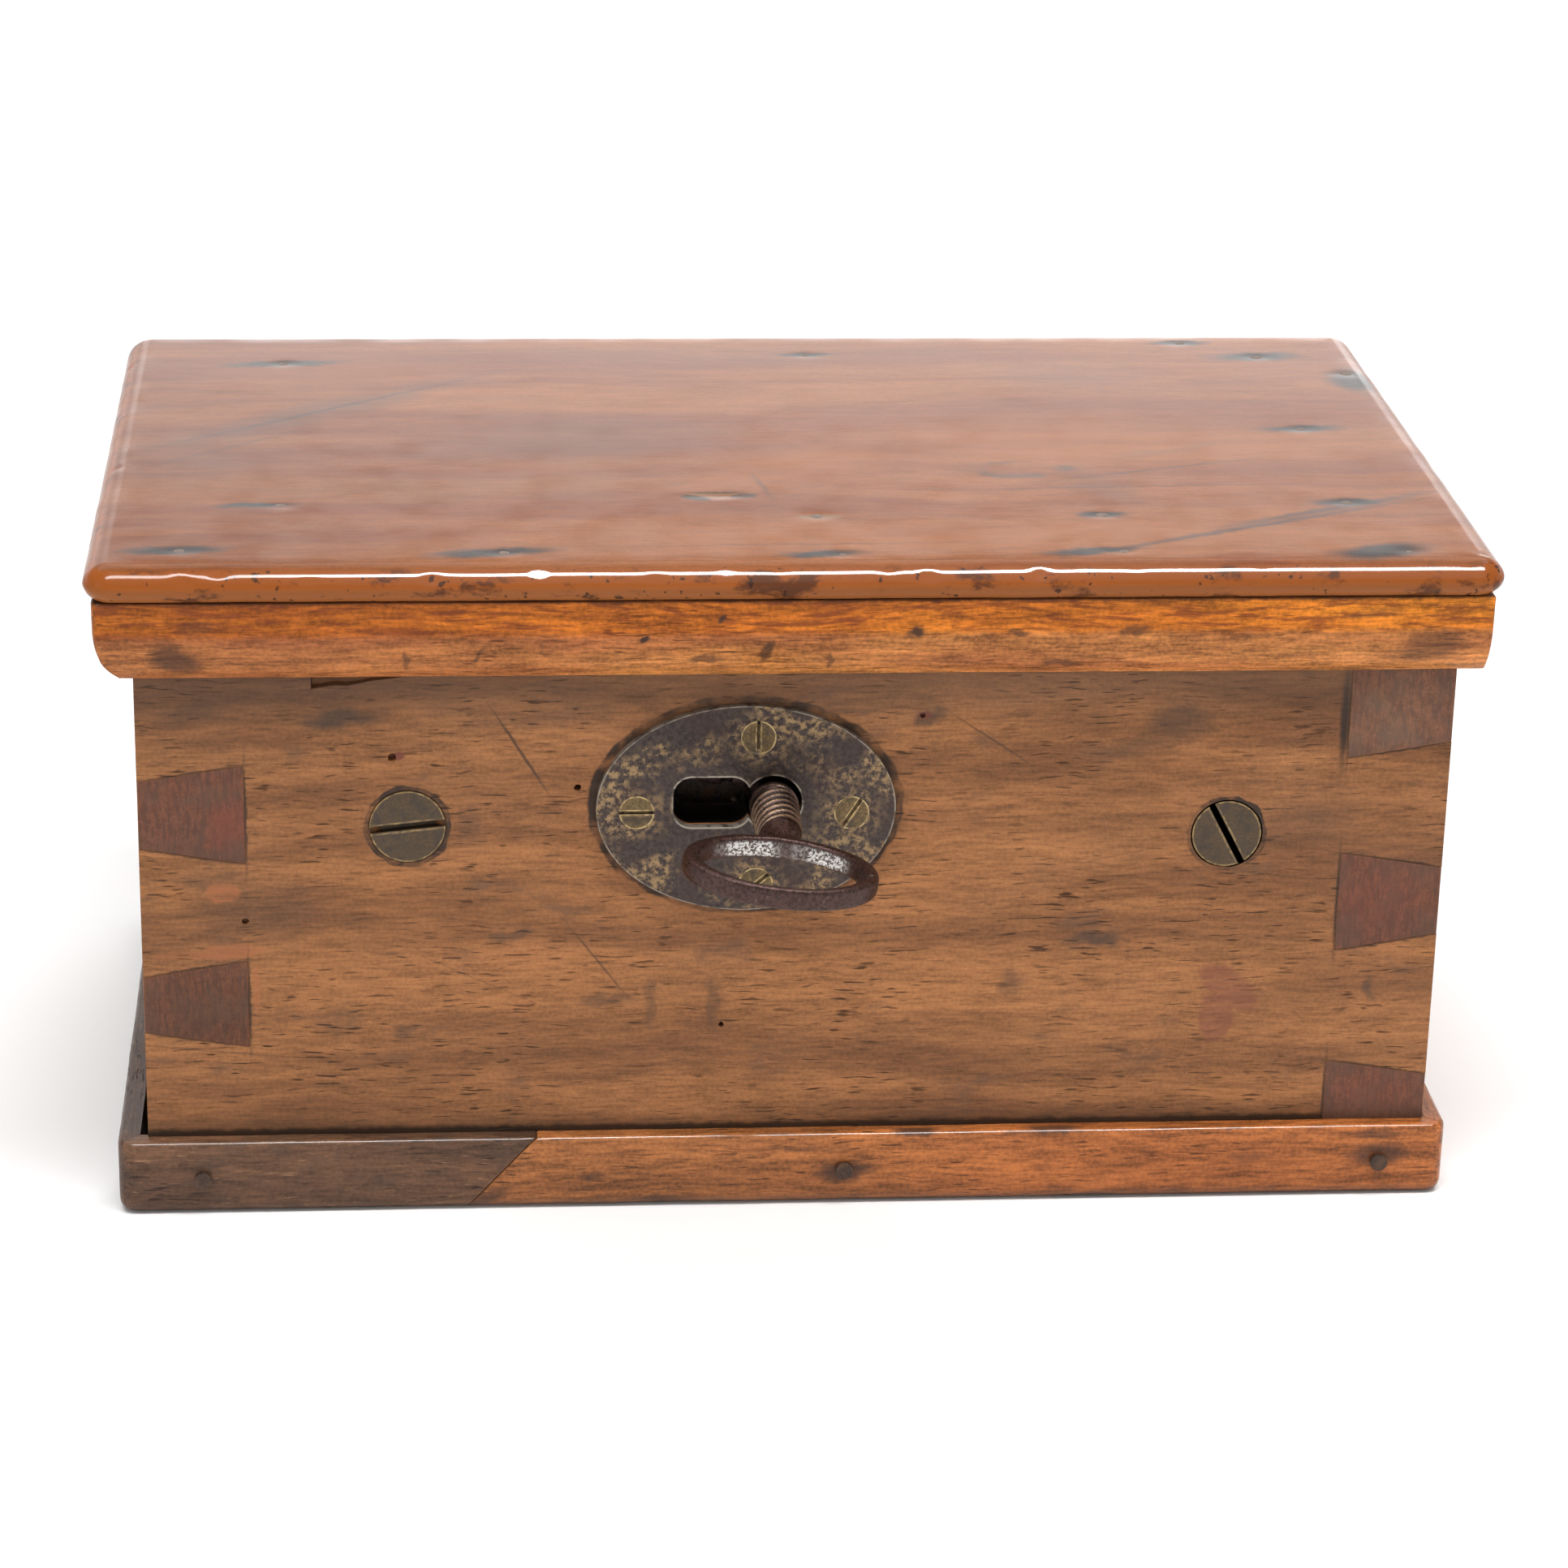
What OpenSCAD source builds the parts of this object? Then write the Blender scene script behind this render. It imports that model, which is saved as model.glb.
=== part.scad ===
// A small dovetailed wooden money box: a case with a moulded lid on hinges, a plinth, a lock and its key.
// +X is to the right, +Y to the back and +Z up. The origin is on the underside, at the middle of the body.
// Sizes are in millimetres.

/* [Body] */
// Outside width of the body
body_w = 250; // [244:1:262]
// Outside depth of the body, front to back
body_d = 144; // [136:1:170]
// Height of the walls' top edge above the ground
wall_top = 109.8; // [108:0.1:116]
// Thickness of the wall boards
wall_t = 20; // [19:0.5:22]
// Thickness of the bottom board
bottom_t = 10; // [8:0.5:14]

/* [Dovetails] */
// How much a pin narrows on each side from the inner face to the outer face
pin_slope = 3.2; // [1:0.1:4]

/* [Plinth] */
// Height of the plinth strips
plinth_h = 15.3; // [12:0.1:20]
// Thickness of a plinth strip
plinth_t = 4.5; // [4:0.1:8]
// Gap between the left strip and the body
plinth_gap = 1.5; // [0.5:0.1:3]
// Radius of the plinth's upright outer corners
plinth_corner_r = 3.5; // [1:0.1:4]

/* [Lid] */
// Thickness of the lid's top board
lid_board_t = 6.8; // [5:0.1:10]
// Overhang of the top board beyond the body, at the front and back
lid_over = 7.8; // [7:0.1:12]
// How far the lid sits to the left of the body's middle
lid_shift = 0.8; // [0:0.1:1.2]
// Height of the rails under the top board
rail_h = 16.4; // [14:0.1:22]
// Width of a rail, from its outer edge inwards
rail_w = 42; // [40:1:44]
// Overhang of the rails beyond the body
rail_over = 6.2; // [5.5:0.1:6.8]
// Radius of the rounded rail edge
ovolo_r = 14.3; // [12:0.1:18]
// Height of the curved part of the rail edge
ovolo_h = 10.6; // [8:0.1:11.5]
// Gap under the lid when it is shut
lid_gap = 0.2; // [0.1:0.05:0.5]

/* [Hinges] */
// Width of a hinge
hinge_w = 38; // [30:1:40]
// Distance of each hinge from the middle
hinge_x = 58; // [40:1:60]
// Radius of the hinge knuckles
knuckle_r = 2.4; // [2:0.1:2.6]
// Radius of the hinge pins
hinge_pin_r = 1.2; // [0.9:0.1:1.4]
// Thickness of a hinge leaf
leaf_t = 1.6; // [1.2:0.1:1.8]

/* [Escutcheon] */
// Width of the oval escutcheon
escutcheon_w = 57; // [54:0.5:64]
// Height of the oval escutcheon
escutcheon_h = 41.5; // [39.5:0.5:44]
// Thickness of the escutcheon
escutcheon_t = 1.8; // [1.2:0.1:2.2]

/* [Key] */
// Height of the key's turning axis
key_z = 84.2; // [82:0.1:85]
// Place of the key's turning axis, left of the middle
key_left = 5.2; // [3:0.1:7]
// Angle of the key past the angle at which it goes in
key_tilt = 7; // [0:1:10]
// Width of the key's oval bow
bow_w = 36.5; // [30:0.5:42]
// Length of the key's oval bow
bow_l = 26.8; // [22:0.2:32]
// Thickness of the key's bow
bow_t = 4.2; // [3:0.1:5]
// Radius of the key's collar
collar_r = 4.9; // [4.4:0.1:5.1]
// Radius of the key's shank
shank_r = 3.8; // [3.4:0.1:4]
// Distance from the key's axis to the tip of its bit
bit_r = 13; // [11:0.5:13]

/* [Hidden] */
$fn = 48;
eps = 0.01;                                  // overshoot that keeps cuts clean

// Colours
tan_wood = [0.56, 0.37, 0.2];
red_wood = [0.6, 0.3, 0.15];
dark_wood = [0.38, 0.21, 0.14];
raw_wood = [0.66, 0.5, 0.32];
iron = [0.27, 0.22, 0.2];
old_brass = [0.5, 0.4, 0.24];

// Body planes
half_w = body_w / 2;
half_d = body_d / 2;
front_y = -half_d;
inner_x = half_w - wall_t;
inner_y = half_d - wall_t;

// Dovetail pins of the side boards: lower and upper edge of each pin at the inner face.
// The left board starts with a gap at the top and bottom, the right one with a pin.
pins_left = [[34, 52], [72, 92]];
pins_right = [[bottom_t, 28], [51.5, 72], [91.5, wall_top]];

// Lid planes
rail_z = wall_top + lid_gap;
board_z = rail_z + rail_h;
lid_top = board_z + lid_board_t;
lid_left = -half_w - lid_over - lid_shift;
lid_right = half_w + lid_over - lid_shift;
rail_left = -half_w - rail_over - lid_shift;
rail_right = half_w + rail_over - lid_shift;
rail_front = front_y - rail_over;
rail_back = half_d + rail_over;
lid_corner_r = 5;
butt_step = 0.5;                             // the right rail stands proud of the front rail's end
// The nosing of the top board: inset from the outermost edge against height, as shares of its thickness
nosing = [[0, 1.7], [0.12, 0.9], [0.3, 0.25], [0.5, 0], [0.7, 0.3], [0.86, 1.1], [0.96, 2], [1, 2.9]];

// Hinges
axis_y = half_d + 1.8;
axis_z = wall_top + lid_gap / 2;
leaf_reach = 15;                             // from the axis to the leaf's front edge
knuckle_room = 0.3;
knuckle_gap = 0.2;
knuckle_w = (hinge_w - 2 * knuckle_gap) / 3;
pin_play = 0.06;
hinge_screw_steps = [-12, 0, 12];

// Lock
key_x = -key_left;
mortise_y = -half_d + 9.5;                   // front of the lock
lock_back = -inner_y;                        // the lock plate is flush with the wall's inner face
plate_t = 2;
cap_t = 1.5;
mech_y0 = mortise_y + cap_t;
mech_y1 = lock_back - plate_t;
selvedge_t = 2;
selvedge_d = 16;
bolt_z0 = key_z + 9.3;
bolt_top = bolt_z0 + 9;
nose_z0 = bolt_z0 + 4.4;
bolt_y0 = mech_y0 + 1.5;
bolt_y1 = mech_y1 - 1.5;
bolt_throw = 7;                              // travel of the bolt for one turn of the key
talon_half = 12.6;
talon_wall = 1.5;
talon_x = key_x - bolt_throw * (90 - key_tilt) / 360;
talon_top = key_z + bit_r + 0.6;
talon_right = talon_x + talon_half + talon_wall;
stud_r = 1.5;
stud_z = bolt_z0 + 4.4;
stud_x = -23.3;
stud_slot = [stud_x - bolt_throw - 2.1, stud_x + 2.4];
stud_slot_half = 1.7;
guide_x = [key_x + 12, key_x + 18];          // the block that the bolt's right end slides on
guide_h = 2.7;
bolt_play = 0.3;
hook_x = [talon_right + bolt_throw + bolt_play, talon_right + bolt_throw + bolt_play + 10];
hook_throat = 6;                             // depth of the notch that takes the bolt
hook_z0 = bolt_z0;
hook_swing = 1.3;                            // room for the hook's arc as the lid rises
hook_slot = 1;                               // room at the hook's sides in the lock's top
hook_leaf = [hook_x[0] - 18, hook_x[0] + 27];
hook_leaf_d = 16;
hook_leaf_t = 1.8;
hook_screw_x = [hook_leaf[0] + 6, hook_leaf[1] - 6];
tongue_half = 1.7;
bolt_x0 = -34;
bolt_x1 = hook_x[0] - 2.5;
mech_x0 = bolt_x0 - 1;
mech_x1 = hook_x[1] + 1.4;
mech_z0 = 68;
mech_z1 = wall_top - selvedge_t - cap_t;
plate_x0 = mech_x0 - 8;
plate_x1 = mech_x1 + 8;
plate_z0 = 63;
lock_screw_x = [plate_x0 + 3.2, plate_x1 - 3.2];
lock_screw_z = [67, 102];
batten_z = [58, 104.5];
batten_x = [-92, 98];
batten_t = 12;

// Key
hole_r = 5.5;
slot_end = -24.2;                            // left end of the keyhole
slot_z = [79.3, 89.4];
slot_corner = 3.6;
drill_pin_r = 1.9;
drill_pin_l = 10;
bow_gap = 23.2;                              // from the front face to the back of the bow
bow_bend = 1.3;                              // the worn key's bow stands to the left of its shank
bow_wall = [3.5, 2.1];                       // thickness of the bow at its sides and at its ends
collar_y = front_y - escutcheon_t - 0.4;
bit_t = 4;
bit_y0 = mech_y0 + 0.5;
bit_y1 = mech_y1 - 0.7;
ward_r = [7.4, 8.4];
ward_h = 2;

// Screws and nails
front_screws = [[-74.4, 79.3, 7.2, 6], [82.5, 76.2, 6.7, -62]];      // x, z, head radius, slot angle
escutcheon_mid = [-10.3, 83];
escutcheon_screws_at = [[-31.1, 82.4, 0], [-8.2, 97.4, 90], [9.8, 82, 58], [-8.3, 67.5, 40]];
lid_nails_at = [
    [-116, -68], [-56, -70], [7, -72], [60, -71], [114, -72], [-98, -41], [4, -49], [59, -49], [108, -42],
    [108, 7], [-100, 56], [11, 62], [108, 60], [93, 71], [125, 47]
];
// Screw sizes: head radius, head height and shank radius
front_screw_size = [0, 4, 3.2];              // each head's own radius is in front_screws
plate_screw_size = [3.4, 1.6, 1.35];
lock_screw_size = [2.55, 1.6, 1.25];
hinge_screw_size = [2.45, leaf_t, 1.15];
screw_play = [0.05, 0.05];
front_screw_play = [0.3, 0];
front_screw_grip = 9;                        // reach of a front screw into the batten
screw_hole_l = 4;
plate_screw_l = 9;
lock_screw_l = 12;
hinge_screw_l = 13;
hook_screw_l = 14;
lock_slot_turn = 20;                         // angles of the screws' slots
hinge_slot_turn = 35;
hook_slot_turn = 75;
slot_share = [0.09, 0.45];                   // a slot's half width and depth, as shares of the head's sizes
nail_r = 1.1;
nail_head_r = 1.7;
nail_head_h = 0.8;
lid_nail_l = 20;
plinth_nail_l = 15;
plinth_nail_z = min(bottom_t * 0.75, plinth_h * 0.6);
front_nails_x = [-114.5, 10, 116];
side_nails_y = [-45, 40];
bottom_nail_l = 26;

// ---- helpers ----

// A block between two corners
module block(low, high) {
    translate(low) cube(high - low);
}

// A cylinder along Y between two places
module rod_y(y0, y1, r) {
    translate([0, y0, 0]) rotate([-90, 0, 0]) cylinder(h = y1 - y0, r = r);
}

// A cylinder along X between two places
module rod_x(x0, x1, r) {
    translate([x0, 0, 0]) rotate([0, 90, 0]) cylinder(h = x1 - x0, r = r);
}

// A flat oval disc along Y
module oval_y(w, h, y0, y1) {
    translate([0, y0, 0]) rotate([-90, 0, 0]) scale([w / h, 1, 1]) cylinder(h = y1 - y0, d = h, $fn = 96);
}

// A rectangle with round corners, between two corners
module round_rect(low, high, r) {
    size = high - low;
    translate(low + [r, 0]) square([size[0] - 2 * r, size[1]]);
    translate(low + [0, r]) square([size[0], size[1] - 2 * r]);
    for (x = [low[0] + r, high[0] - r]) {
        for (y = [low[1] + r, high[1] - r]) {
            translate([x, y]) circle(r);
        }
    }
}

// A 2D outline in X and Z, pushed from y0 to y1
module push_y(y0, y1) {
    translate([0, y1, 0]) rotate([90, 0, 0]) linear_extrude(y1 - y0) children();
}

// A slotted countersunk screw pointing down -Z, with its head's top at the origin
module screw(size, length, turn = 0) {
    head_r = size[0];
    head_h = size[1];
    shank_r = size[2];
    slot_half = head_r * slot_share[0];
    slot_floor = -head_h * slot_share[1];
    difference() {
        union() {
            translate([0, 0, -head_h]) cylinder(h = head_h, r1 = shank_r, r2 = head_r);
            translate([0, 0, -length]) cylinder(h = length - head_h + eps, r = shank_r);
        }
        rotate([0, 0, turn]) {
            block([-head_r - 1, -slot_half, slot_floor], [head_r + 1, slot_half, head_h]);
        }
    }
}

// The hole that a countersunk screw of that size sits in, with the play round its head and its shank
module screw_hole(size, length, play = screw_play) {
    head_r = size[0] + play[0];
    head_h = size[1];
    shank_r = size[2] + play[1];
    translate([0, 0, -head_h]) cylinder(h = head_h, r1 = shank_r, r2 = head_r);
    translate([0, 0, -length]) cylinder(h = length - head_h + eps, r = shank_r);
    translate([0, 0, -eps]) cylinder(h = 2, r = head_r);
}

// A flat-headed nail pointing down -Z, with its head's top at the origin
module nail(length) {
    translate([0, 0, -nail_head_h]) cylinder(h = nail_head_h, r = nail_head_r, $fn = 24);
    translate([0, 0, -length]) cylinder(h = length - nail_head_h, r = nail_r, $fn = 24);
}

// ---- body boards ----

// The outline of one dovetail pin on the left, wide at the inner face and narrow at the outer face.
// A pin that ends at the edge of the board has no slope there.
module pin_outline(edges) {
    low_slope = edges[0] <= bottom_t ? 0 : pin_slope;
    high_slope = edges[1] >= wall_top ? 0 : pin_slope;
    polygon([
        [-inner_x, edges[0]],
        [-inner_x, edges[1]],
        [-half_w, edges[1] - high_slope],
        [-half_w, edges[0] + low_slope]
    ]);
}

// The pins of one side board, pushed through a front or back board
module side_pins(pins, y0, y1) {
    for (edges = pins) {
        push_y(y0, y1) pin_outline(edges);
    }
}

// All the pins that run through a front or back board
module all_pins(y0, y1) {
    side_pins(pins_left, y0, y1);
    mirror([1, 0, 0]) side_pins(pins_right, y0, y1);
}

// The keyhole's outline in X and Z
module keyhole_outline() {
    round_rect([slot_end, slot_z[0]], [key_x - hole_r + 1.2, slot_z[1]], slot_corner);
    translate([key_x, key_z]) circle(hole_r);
}

module front_board() {
    color(tan_wood) difference() {
        block([-half_w, -half_d, bottom_t], [half_w, -inner_y, wall_top]);
        all_pins(-half_d - 1, -inner_y + 1);
        push_y(-half_d - 1, -inner_y + 1) keyhole_outline();
        // The mortise for the lock, its plate and its selvedge
        block([mech_x0 - cap_t, mortise_y, mech_z0 - cap_t], [mech_x1 + cap_t, -inner_y + 1, wall_top + 1]);
        block([plate_x0, lock_back - plate_t, plate_z0], [plate_x1, -inner_y + 1, wall_top + 1]);
        block(
            [plate_x0, lock_back - selvedge_d, wall_top - selvedge_t],
            [plate_x1, -inner_y + 1, wall_top + 1]
        );
        for (s = front_screws) {
            translate([s[0], front_y, s[1]]) rotate([90, 0, 0]) {
                screw_hole(front_size(s), wall_t + 1, front_screw_play);
            }
        }
    }
}

module back_board() {
    color(tan_wood) difference() {
        block([-half_w, inner_y, bottom_t], [half_w, half_d, wall_top]);
        all_pins(inner_y - 1, half_d + 1);
        for (x = [-hinge_x, hinge_x]) {
            block(
                [x - hinge_w / 2, axis_y - leaf_reach, wall_top - leaf_t],
                [x + hinge_w / 2, half_d + 1, wall_top + 1]
            );
            translate([x, axis_y, axis_z]) rod_x(-hinge_w / 2, hinge_w / 2, knuckle_r + knuckle_room);
        }
    }
}

// A side board with its pins, drawn on the left
module side_board(pins) {
    block([-half_w, -inner_y, bottom_t], [-inner_x, inner_y, wall_top]);
    side_pins(pins, -half_d, -inner_y + eps);
    side_pins(pins, inner_y - eps, half_d);
}

module left_side() {
    color(dark_wood) side_board(pins_left);
}

module right_side() {
    color(dark_wood) mirror([1, 0, 0]) side_board(pins_right);
}

module bottom_board() {
    color(raw_wood) block([-half_w, -half_d, 0], [half_w, half_d, bottom_t]);
}

module bottom_nails() {
    color(iron) {
        for (x = [-half_w * 0.75, -half_w * 0.25, half_w * 0.25, half_w * 0.75]) {
            for (y = [-half_d + 10, half_d - 10]) {
                translate([x, y, 0]) mirror([0, 0, 1]) nail(bottom_nail_l);
            }
        }
        for (x = [-half_w + 10, half_w - 10]) {
            translate([x, 0, 0]) mirror([0, 0, 1]) nail(bottom_nail_l);
        }
    }
}

// ---- plinth ----

plinth_low = [-half_w - plinth_t - plinth_gap, -half_d - plinth_t];
plinth_high = [half_w + plinth_t, half_d + plinth_t];
plinth_in_low = plinth_low + [plinth_t, plinth_t];
plinth_in_high = plinth_high - [plinth_t, plinth_t];
plinth_edge = 1.2;                           // rounding of the strips' upper outer edge
plinth_foot = 2.5;                           // rounding of the strips' lower outer edge
scarf_top = -50;                             // the patch's slanted joint at the top of the front strip
scarf_foot = -64;                            // and at its foot

// A strip's cross-section: x runs outwards from the body, y is the height
module plinth_profile() {
    square([plinth_t - plinth_foot, plinth_h]);
    translate([0, plinth_foot]) square([plinth_t - plinth_edge, plinth_h - plinth_foot]);
    translate([0, plinth_foot]) square([plinth_t, plinth_h - plinth_foot - plinth_edge]);
    translate([plinth_t - plinth_edge, plinth_h - plinth_edge]) circle(plinth_edge);
    intersection() {
        square([plinth_t, plinth_foot]);
        translate([plinth_t - plinth_foot, plinth_foot]) circle(plinth_foot);
    }
}

// One mitred strip along the front, before its corners are rounded
module plinth_run(low, high, in_low, in_high) {
    intersection() {
        translate([high[0], in_low[1], 0]) rotate([90, 0, -90]) {
            linear_extrude(high[0] - low[0]) plinth_profile();
        }
        linear_extrude(plinth_h) polygon([low, [high[0], low[1]], [in_high[0], in_low[1]], in_low]);
    }
}

// The upright prism whose round corners the plinth follows
module plinth_prism() {
    linear_extrude(plinth_h) round_rect(plinth_low, plinth_high, plinth_corner_r);
}

// The slanted cut between the front strip and its patch
module scarf_side(side) {
    slant = (scarf_top - scarf_foot) / plinth_h;
    far = side * (half_w + 20);
    push_y(-half_d - 20, -half_d + 5) polygon([
        [scarf_foot - slant, -1],
        [scarf_top + slant, plinth_h + 1],
        [far, plinth_h + 1],
        [far, -1]
    ]);
}

module plinth_front() {
    color(red_wood) intersection() {
        plinth_run(plinth_low, plinth_high, plinth_in_low, plinth_in_high);
        plinth_prism();
        scarf_side(1);
    }
}

module plinth_patch() {
    color(dark_wood) intersection() {
        plinth_run(plinth_low, plinth_high, plinth_in_low, plinth_in_high);
        plinth_prism();
        scarf_side(-1);
    }
}

module plinth_back() {
    color(tan_wood) intersection() {
        mirror([0, 1, 0]) plinth_run(
            [plinth_low[0], -plinth_high[1]], [plinth_high[0], -plinth_low[1]],
            [plinth_in_low[0], -plinth_in_high[1]], [plinth_in_high[0], -plinth_in_low[1]]
        );
        plinth_prism();
    }
}

// A mitred strip along the left, before its corners are rounded
module plinth_side_run(low, high, in_low, in_high) {
    intersection() {
        translate([in_low[0], low[1], 0]) rotate([90, 0, 180]) {
            linear_extrude(high[1] - low[1]) plinth_profile();
        }
        linear_extrude(plinth_h) polygon([low, in_low, [in_low[0], in_high[1]], [low[0], high[1]]]);
    }
}

module plinth_left() {
    color(dark_wood) intersection() {
        plinth_side_run(plinth_low, plinth_high, plinth_in_low, plinth_in_high);
        plinth_prism();
    }
}

module plinth_right() {
    color(red_wood) intersection() {
        mirror([1, 0, 0]) plinth_side_run(
            [-plinth_high[0], plinth_low[1]], [-plinth_low[0], plinth_high[1]],
            [-plinth_in_high[0], plinth_in_low[1]], [-plinth_in_low[0], plinth_in_high[1]]
        );
        plinth_prism();
    }
}

module plinth_nails() {
    color(iron) {
        for (x = front_nails_x) {
            translate([x, plinth_low[1], plinth_nail_z]) rotate([90, 0, 0]) nail(plinth_nail_l);
            translate([x, plinth_high[1], plinth_nail_z]) rotate([-90, 0, 0]) nail(plinth_nail_l);
        }
        for (y = side_nails_y) {
            translate([plinth_low[0], y, plinth_nail_z]) rotate([0, -90, 0]) nail(plinth_nail_l);
            translate([plinth_high[0], y, plinth_nail_z]) rotate([0, 90, 0]) nail(plinth_nail_l);
        }
    }
}

// ---- front ironwork ----

// The size of a front screw with its own head radius
function front_size(s) = front_screw_size + [s[2], 0, 0];

module front_screw(s) {
    translate([s[0], front_y, s[1]]) rotate([90, 0, 0]) screw(front_size(s), wall_t + front_screw_grip, s[3]);
}

module front_screw_left() {
    color(old_brass) front_screw(front_screws[0]);
}

module front_screw_right() {
    color(old_brass) front_screw(front_screws[1]);
}

module escutcheon() {
    face_y = front_y - escutcheon_t;
    color(iron) difference() {
        translate([escutcheon_mid[0], 0, escutcheon_mid[1]]) {
            oval_y(escutcheon_w, escutcheon_h, face_y, front_y);
        }
        push_y(face_y - 1, front_y + 1) keyhole_outline();
        for (s = escutcheon_screws_at) {
            translate([s[0], face_y, s[1]]) rotate([90, 0, 0]) screw_hole(plate_screw_size, screw_hole_l);
        }
    }
}

module escutcheon_screws() {
    color(old_brass) for (s = escutcheon_screws_at) {
        translate([s[0], front_y - escutcheon_t, s[1]]) rotate([90, 0, 0]) {
            screw(plate_screw_size, plate_screw_l, s[2]);
        }
    }
}

module lock_batten() {
    color(raw_wood) difference() {
        block([batten_x[0], -inner_y, batten_z[0]], [batten_x[1], -inner_y + batten_t, batten_z[1]]);
        for (s = front_screws) {
            translate([s[0], -inner_y, s[1]]) rod_y(-1, front_screw_grip, front_screw_size[2]);
        }
    }
}

// ---- lock ----

module lock_plate() {
    slot_y = [bolt_y0 - hook_swing, bolt_y1 + 0.5];
    color(iron) difference() {
        union() {
            block([plate_x0, mech_y1, plate_z0], [plate_x1, lock_back, wall_top]);
            block([plate_x0, lock_back - selvedge_d, wall_top - selvedge_t], [plate_x1, lock_back, wall_top]);
        }
        block(
            [hook_x[0] - hook_slot, slot_y[0], wall_top - selvedge_t - 1],
            [hook_x[1] + hook_slot, slot_y[1], wall_top + 1]
        );
        for (x = lock_screw_x) {
            for (z = lock_screw_z) {
                translate([x, lock_back, z]) rotate([-90, 0, 0]) screw_hole(lock_screw_size, screw_hole_l);
            }
        }
    }
}

module lock_cap() {
    slot_y = [bolt_y0 - hook_swing, bolt_y1 + 0.5];
    color(iron) difference() {
        block([mech_x0 - cap_t, mortise_y, mech_z0 - cap_t], [mech_x1 + cap_t, mech_y1, mech_z1 + cap_t]);
        block([mech_x0, mech_y0, mech_z0], [mech_x1, mech_y1 + 1, mech_z1]);
        push_y(mortise_y - 1, mech_y0 + 1) keyhole_outline();
        block(
            [hook_x[0] - hook_slot, slot_y[0], mech_z1 - 1],
            [hook_x[1] + hook_slot, slot_y[1], mech_z1 + cap_t + 1]
        );
    }
}

// A ring ward on the cap, left open where the bit comes in
module lock_ward() {
    open_angle = 60;
    color(iron) translate([key_x, mech_y0, key_z]) rotate([-90, 0, 0]) {
        rotate([0, 0, 180 + open_angle / 2]) rotate_extrude(angle = 360 - open_angle) {
            translate([ward_r[0], 0]) square([ward_r[1] - ward_r[0], ward_h]);
        }
    }
}

module drill_pin() {
    color(iron) translate([key_x, 0, key_z]) rod_y(mech_y1 - drill_pin_l, mech_y1, drill_pin_r);
}

// The stud in the bolt's slot and the block under the bolt's right end
module bolt_guides() {
    color(iron) {
        translate([stud_x, 0, stud_z]) rod_y(mech_y0 + 0.6, mech_y1, stud_r);
        block(
            [guide_x[0], bolt_y0, bolt_z0 - bolt_play - guide_h],
            [guide_x[1], mech_y1, bolt_z0 - bolt_play]
        );
    }
}

module lock_screws() {
    color(old_brass) for (x = lock_screw_x) {
        for (z = lock_screw_z) {
            translate([x, lock_back, z]) rotate([-90, 0, 0]) {
                screw(lock_screw_size, lock_screw_l, lock_slot_turn);
            }
        }
    }
}

module lock_bolt() {
    color(iron) difference() {
        union() {
            block([bolt_x0, bolt_y0, bolt_z0], [talon_right, bolt_y1, bolt_top]);
            block([talon_x, bolt_y0, nose_z0], [bolt_x1, bolt_y1, bolt_top]);
        }
        block(
            [talon_x - talon_half, bolt_y0 - 1, bolt_z0 - 1],
            [talon_x + talon_half, bolt_y1 + 1, talon_top]
        );
        push_y(bolt_y0 - 1, bolt_y1 + 1) {
            round_rect(
                [stud_slot[0], stud_z - stud_slot_half], [stud_slot[1], stud_z + stud_slot_half],
                stud_slot_half - eps
            );
        }
    }
}

// A thin leaf spring that rides on the bolt and bears on the top of the cap
module bolt_spring() {
    strip = 0.6;
    rise = mech_z1 - bolt_top - strip - 0.3;
    run = 22;
    flat = 8;
    wide = bolt_y1 - bolt_y0 - 1;
    color(old_brass) translate([bolt_x0 + 1, bolt_y0 + 0.5, bolt_top]) {
        cube([flat, wide, strip]);
        translate([flat, 0, 0]) rotate([90, 0, 0]) mirror([0, 0, 1]) linear_extrude(wide) {
            polygon([[-eps, 0], [run, rise], [run, rise + strip], [-eps, strip]]);
        }
    }
}

// ---- key ----

// The key along Y on its own axis, with its bow level and its bit to the left
module key_level() {
    bow_back = front_y - bow_gap;
    bow_mid = bow_back - bow_l / 2;
    difference() {
        union() {
            rod_y(bow_back + 1.6, collar_y, collar_r);
            translate([0, bow_back - bow_wall[1] + 0.4, 0]) rotate([-90, 0, 0]) {
                cylinder(h = bow_wall[1] + 1.2 + eps, r1 = 2.4, r2 = collar_r);
            }
            rod_y(collar_y - eps, bit_y1, shank_r);
            block([-bit_r, bit_y0, -bit_t / 2], [-shank_r + 1, bit_y1, bit_t / 2]);
            translate([-bow_bend, bow_mid, -bow_t / 2]) difference() {
                scale([bow_w / bow_l, 1, 1]) cylinder(h = bow_t, d = bow_l, $fn = 96);
                translate([0, 0, -1]) scale([(bow_w - 2 * bow_wall[0]) / (bow_l - 2 * bow_wall[1]), 1, 1]) {
                    cylinder(h = bow_t + 2, d = bow_l - 2 * bow_wall[1], $fn = 96);
                }
            }
        }
        rod_y(mech_y1 - drill_pin_l - 2, bit_y1 + 1, drill_pin_r + pin_play);
        block([-ward_r[1] - 0.4, bit_y0 - 1, -bit_t], [-ward_r[0] + 0.4, mech_y0 + ward_h + 0.3, bit_t]);
    }
}

module key() {
    color(iron) translate([key_x, 0, key_z]) rotate([0, key_tilt, 0]) key_level();
}

// ---- hinges ----

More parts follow.
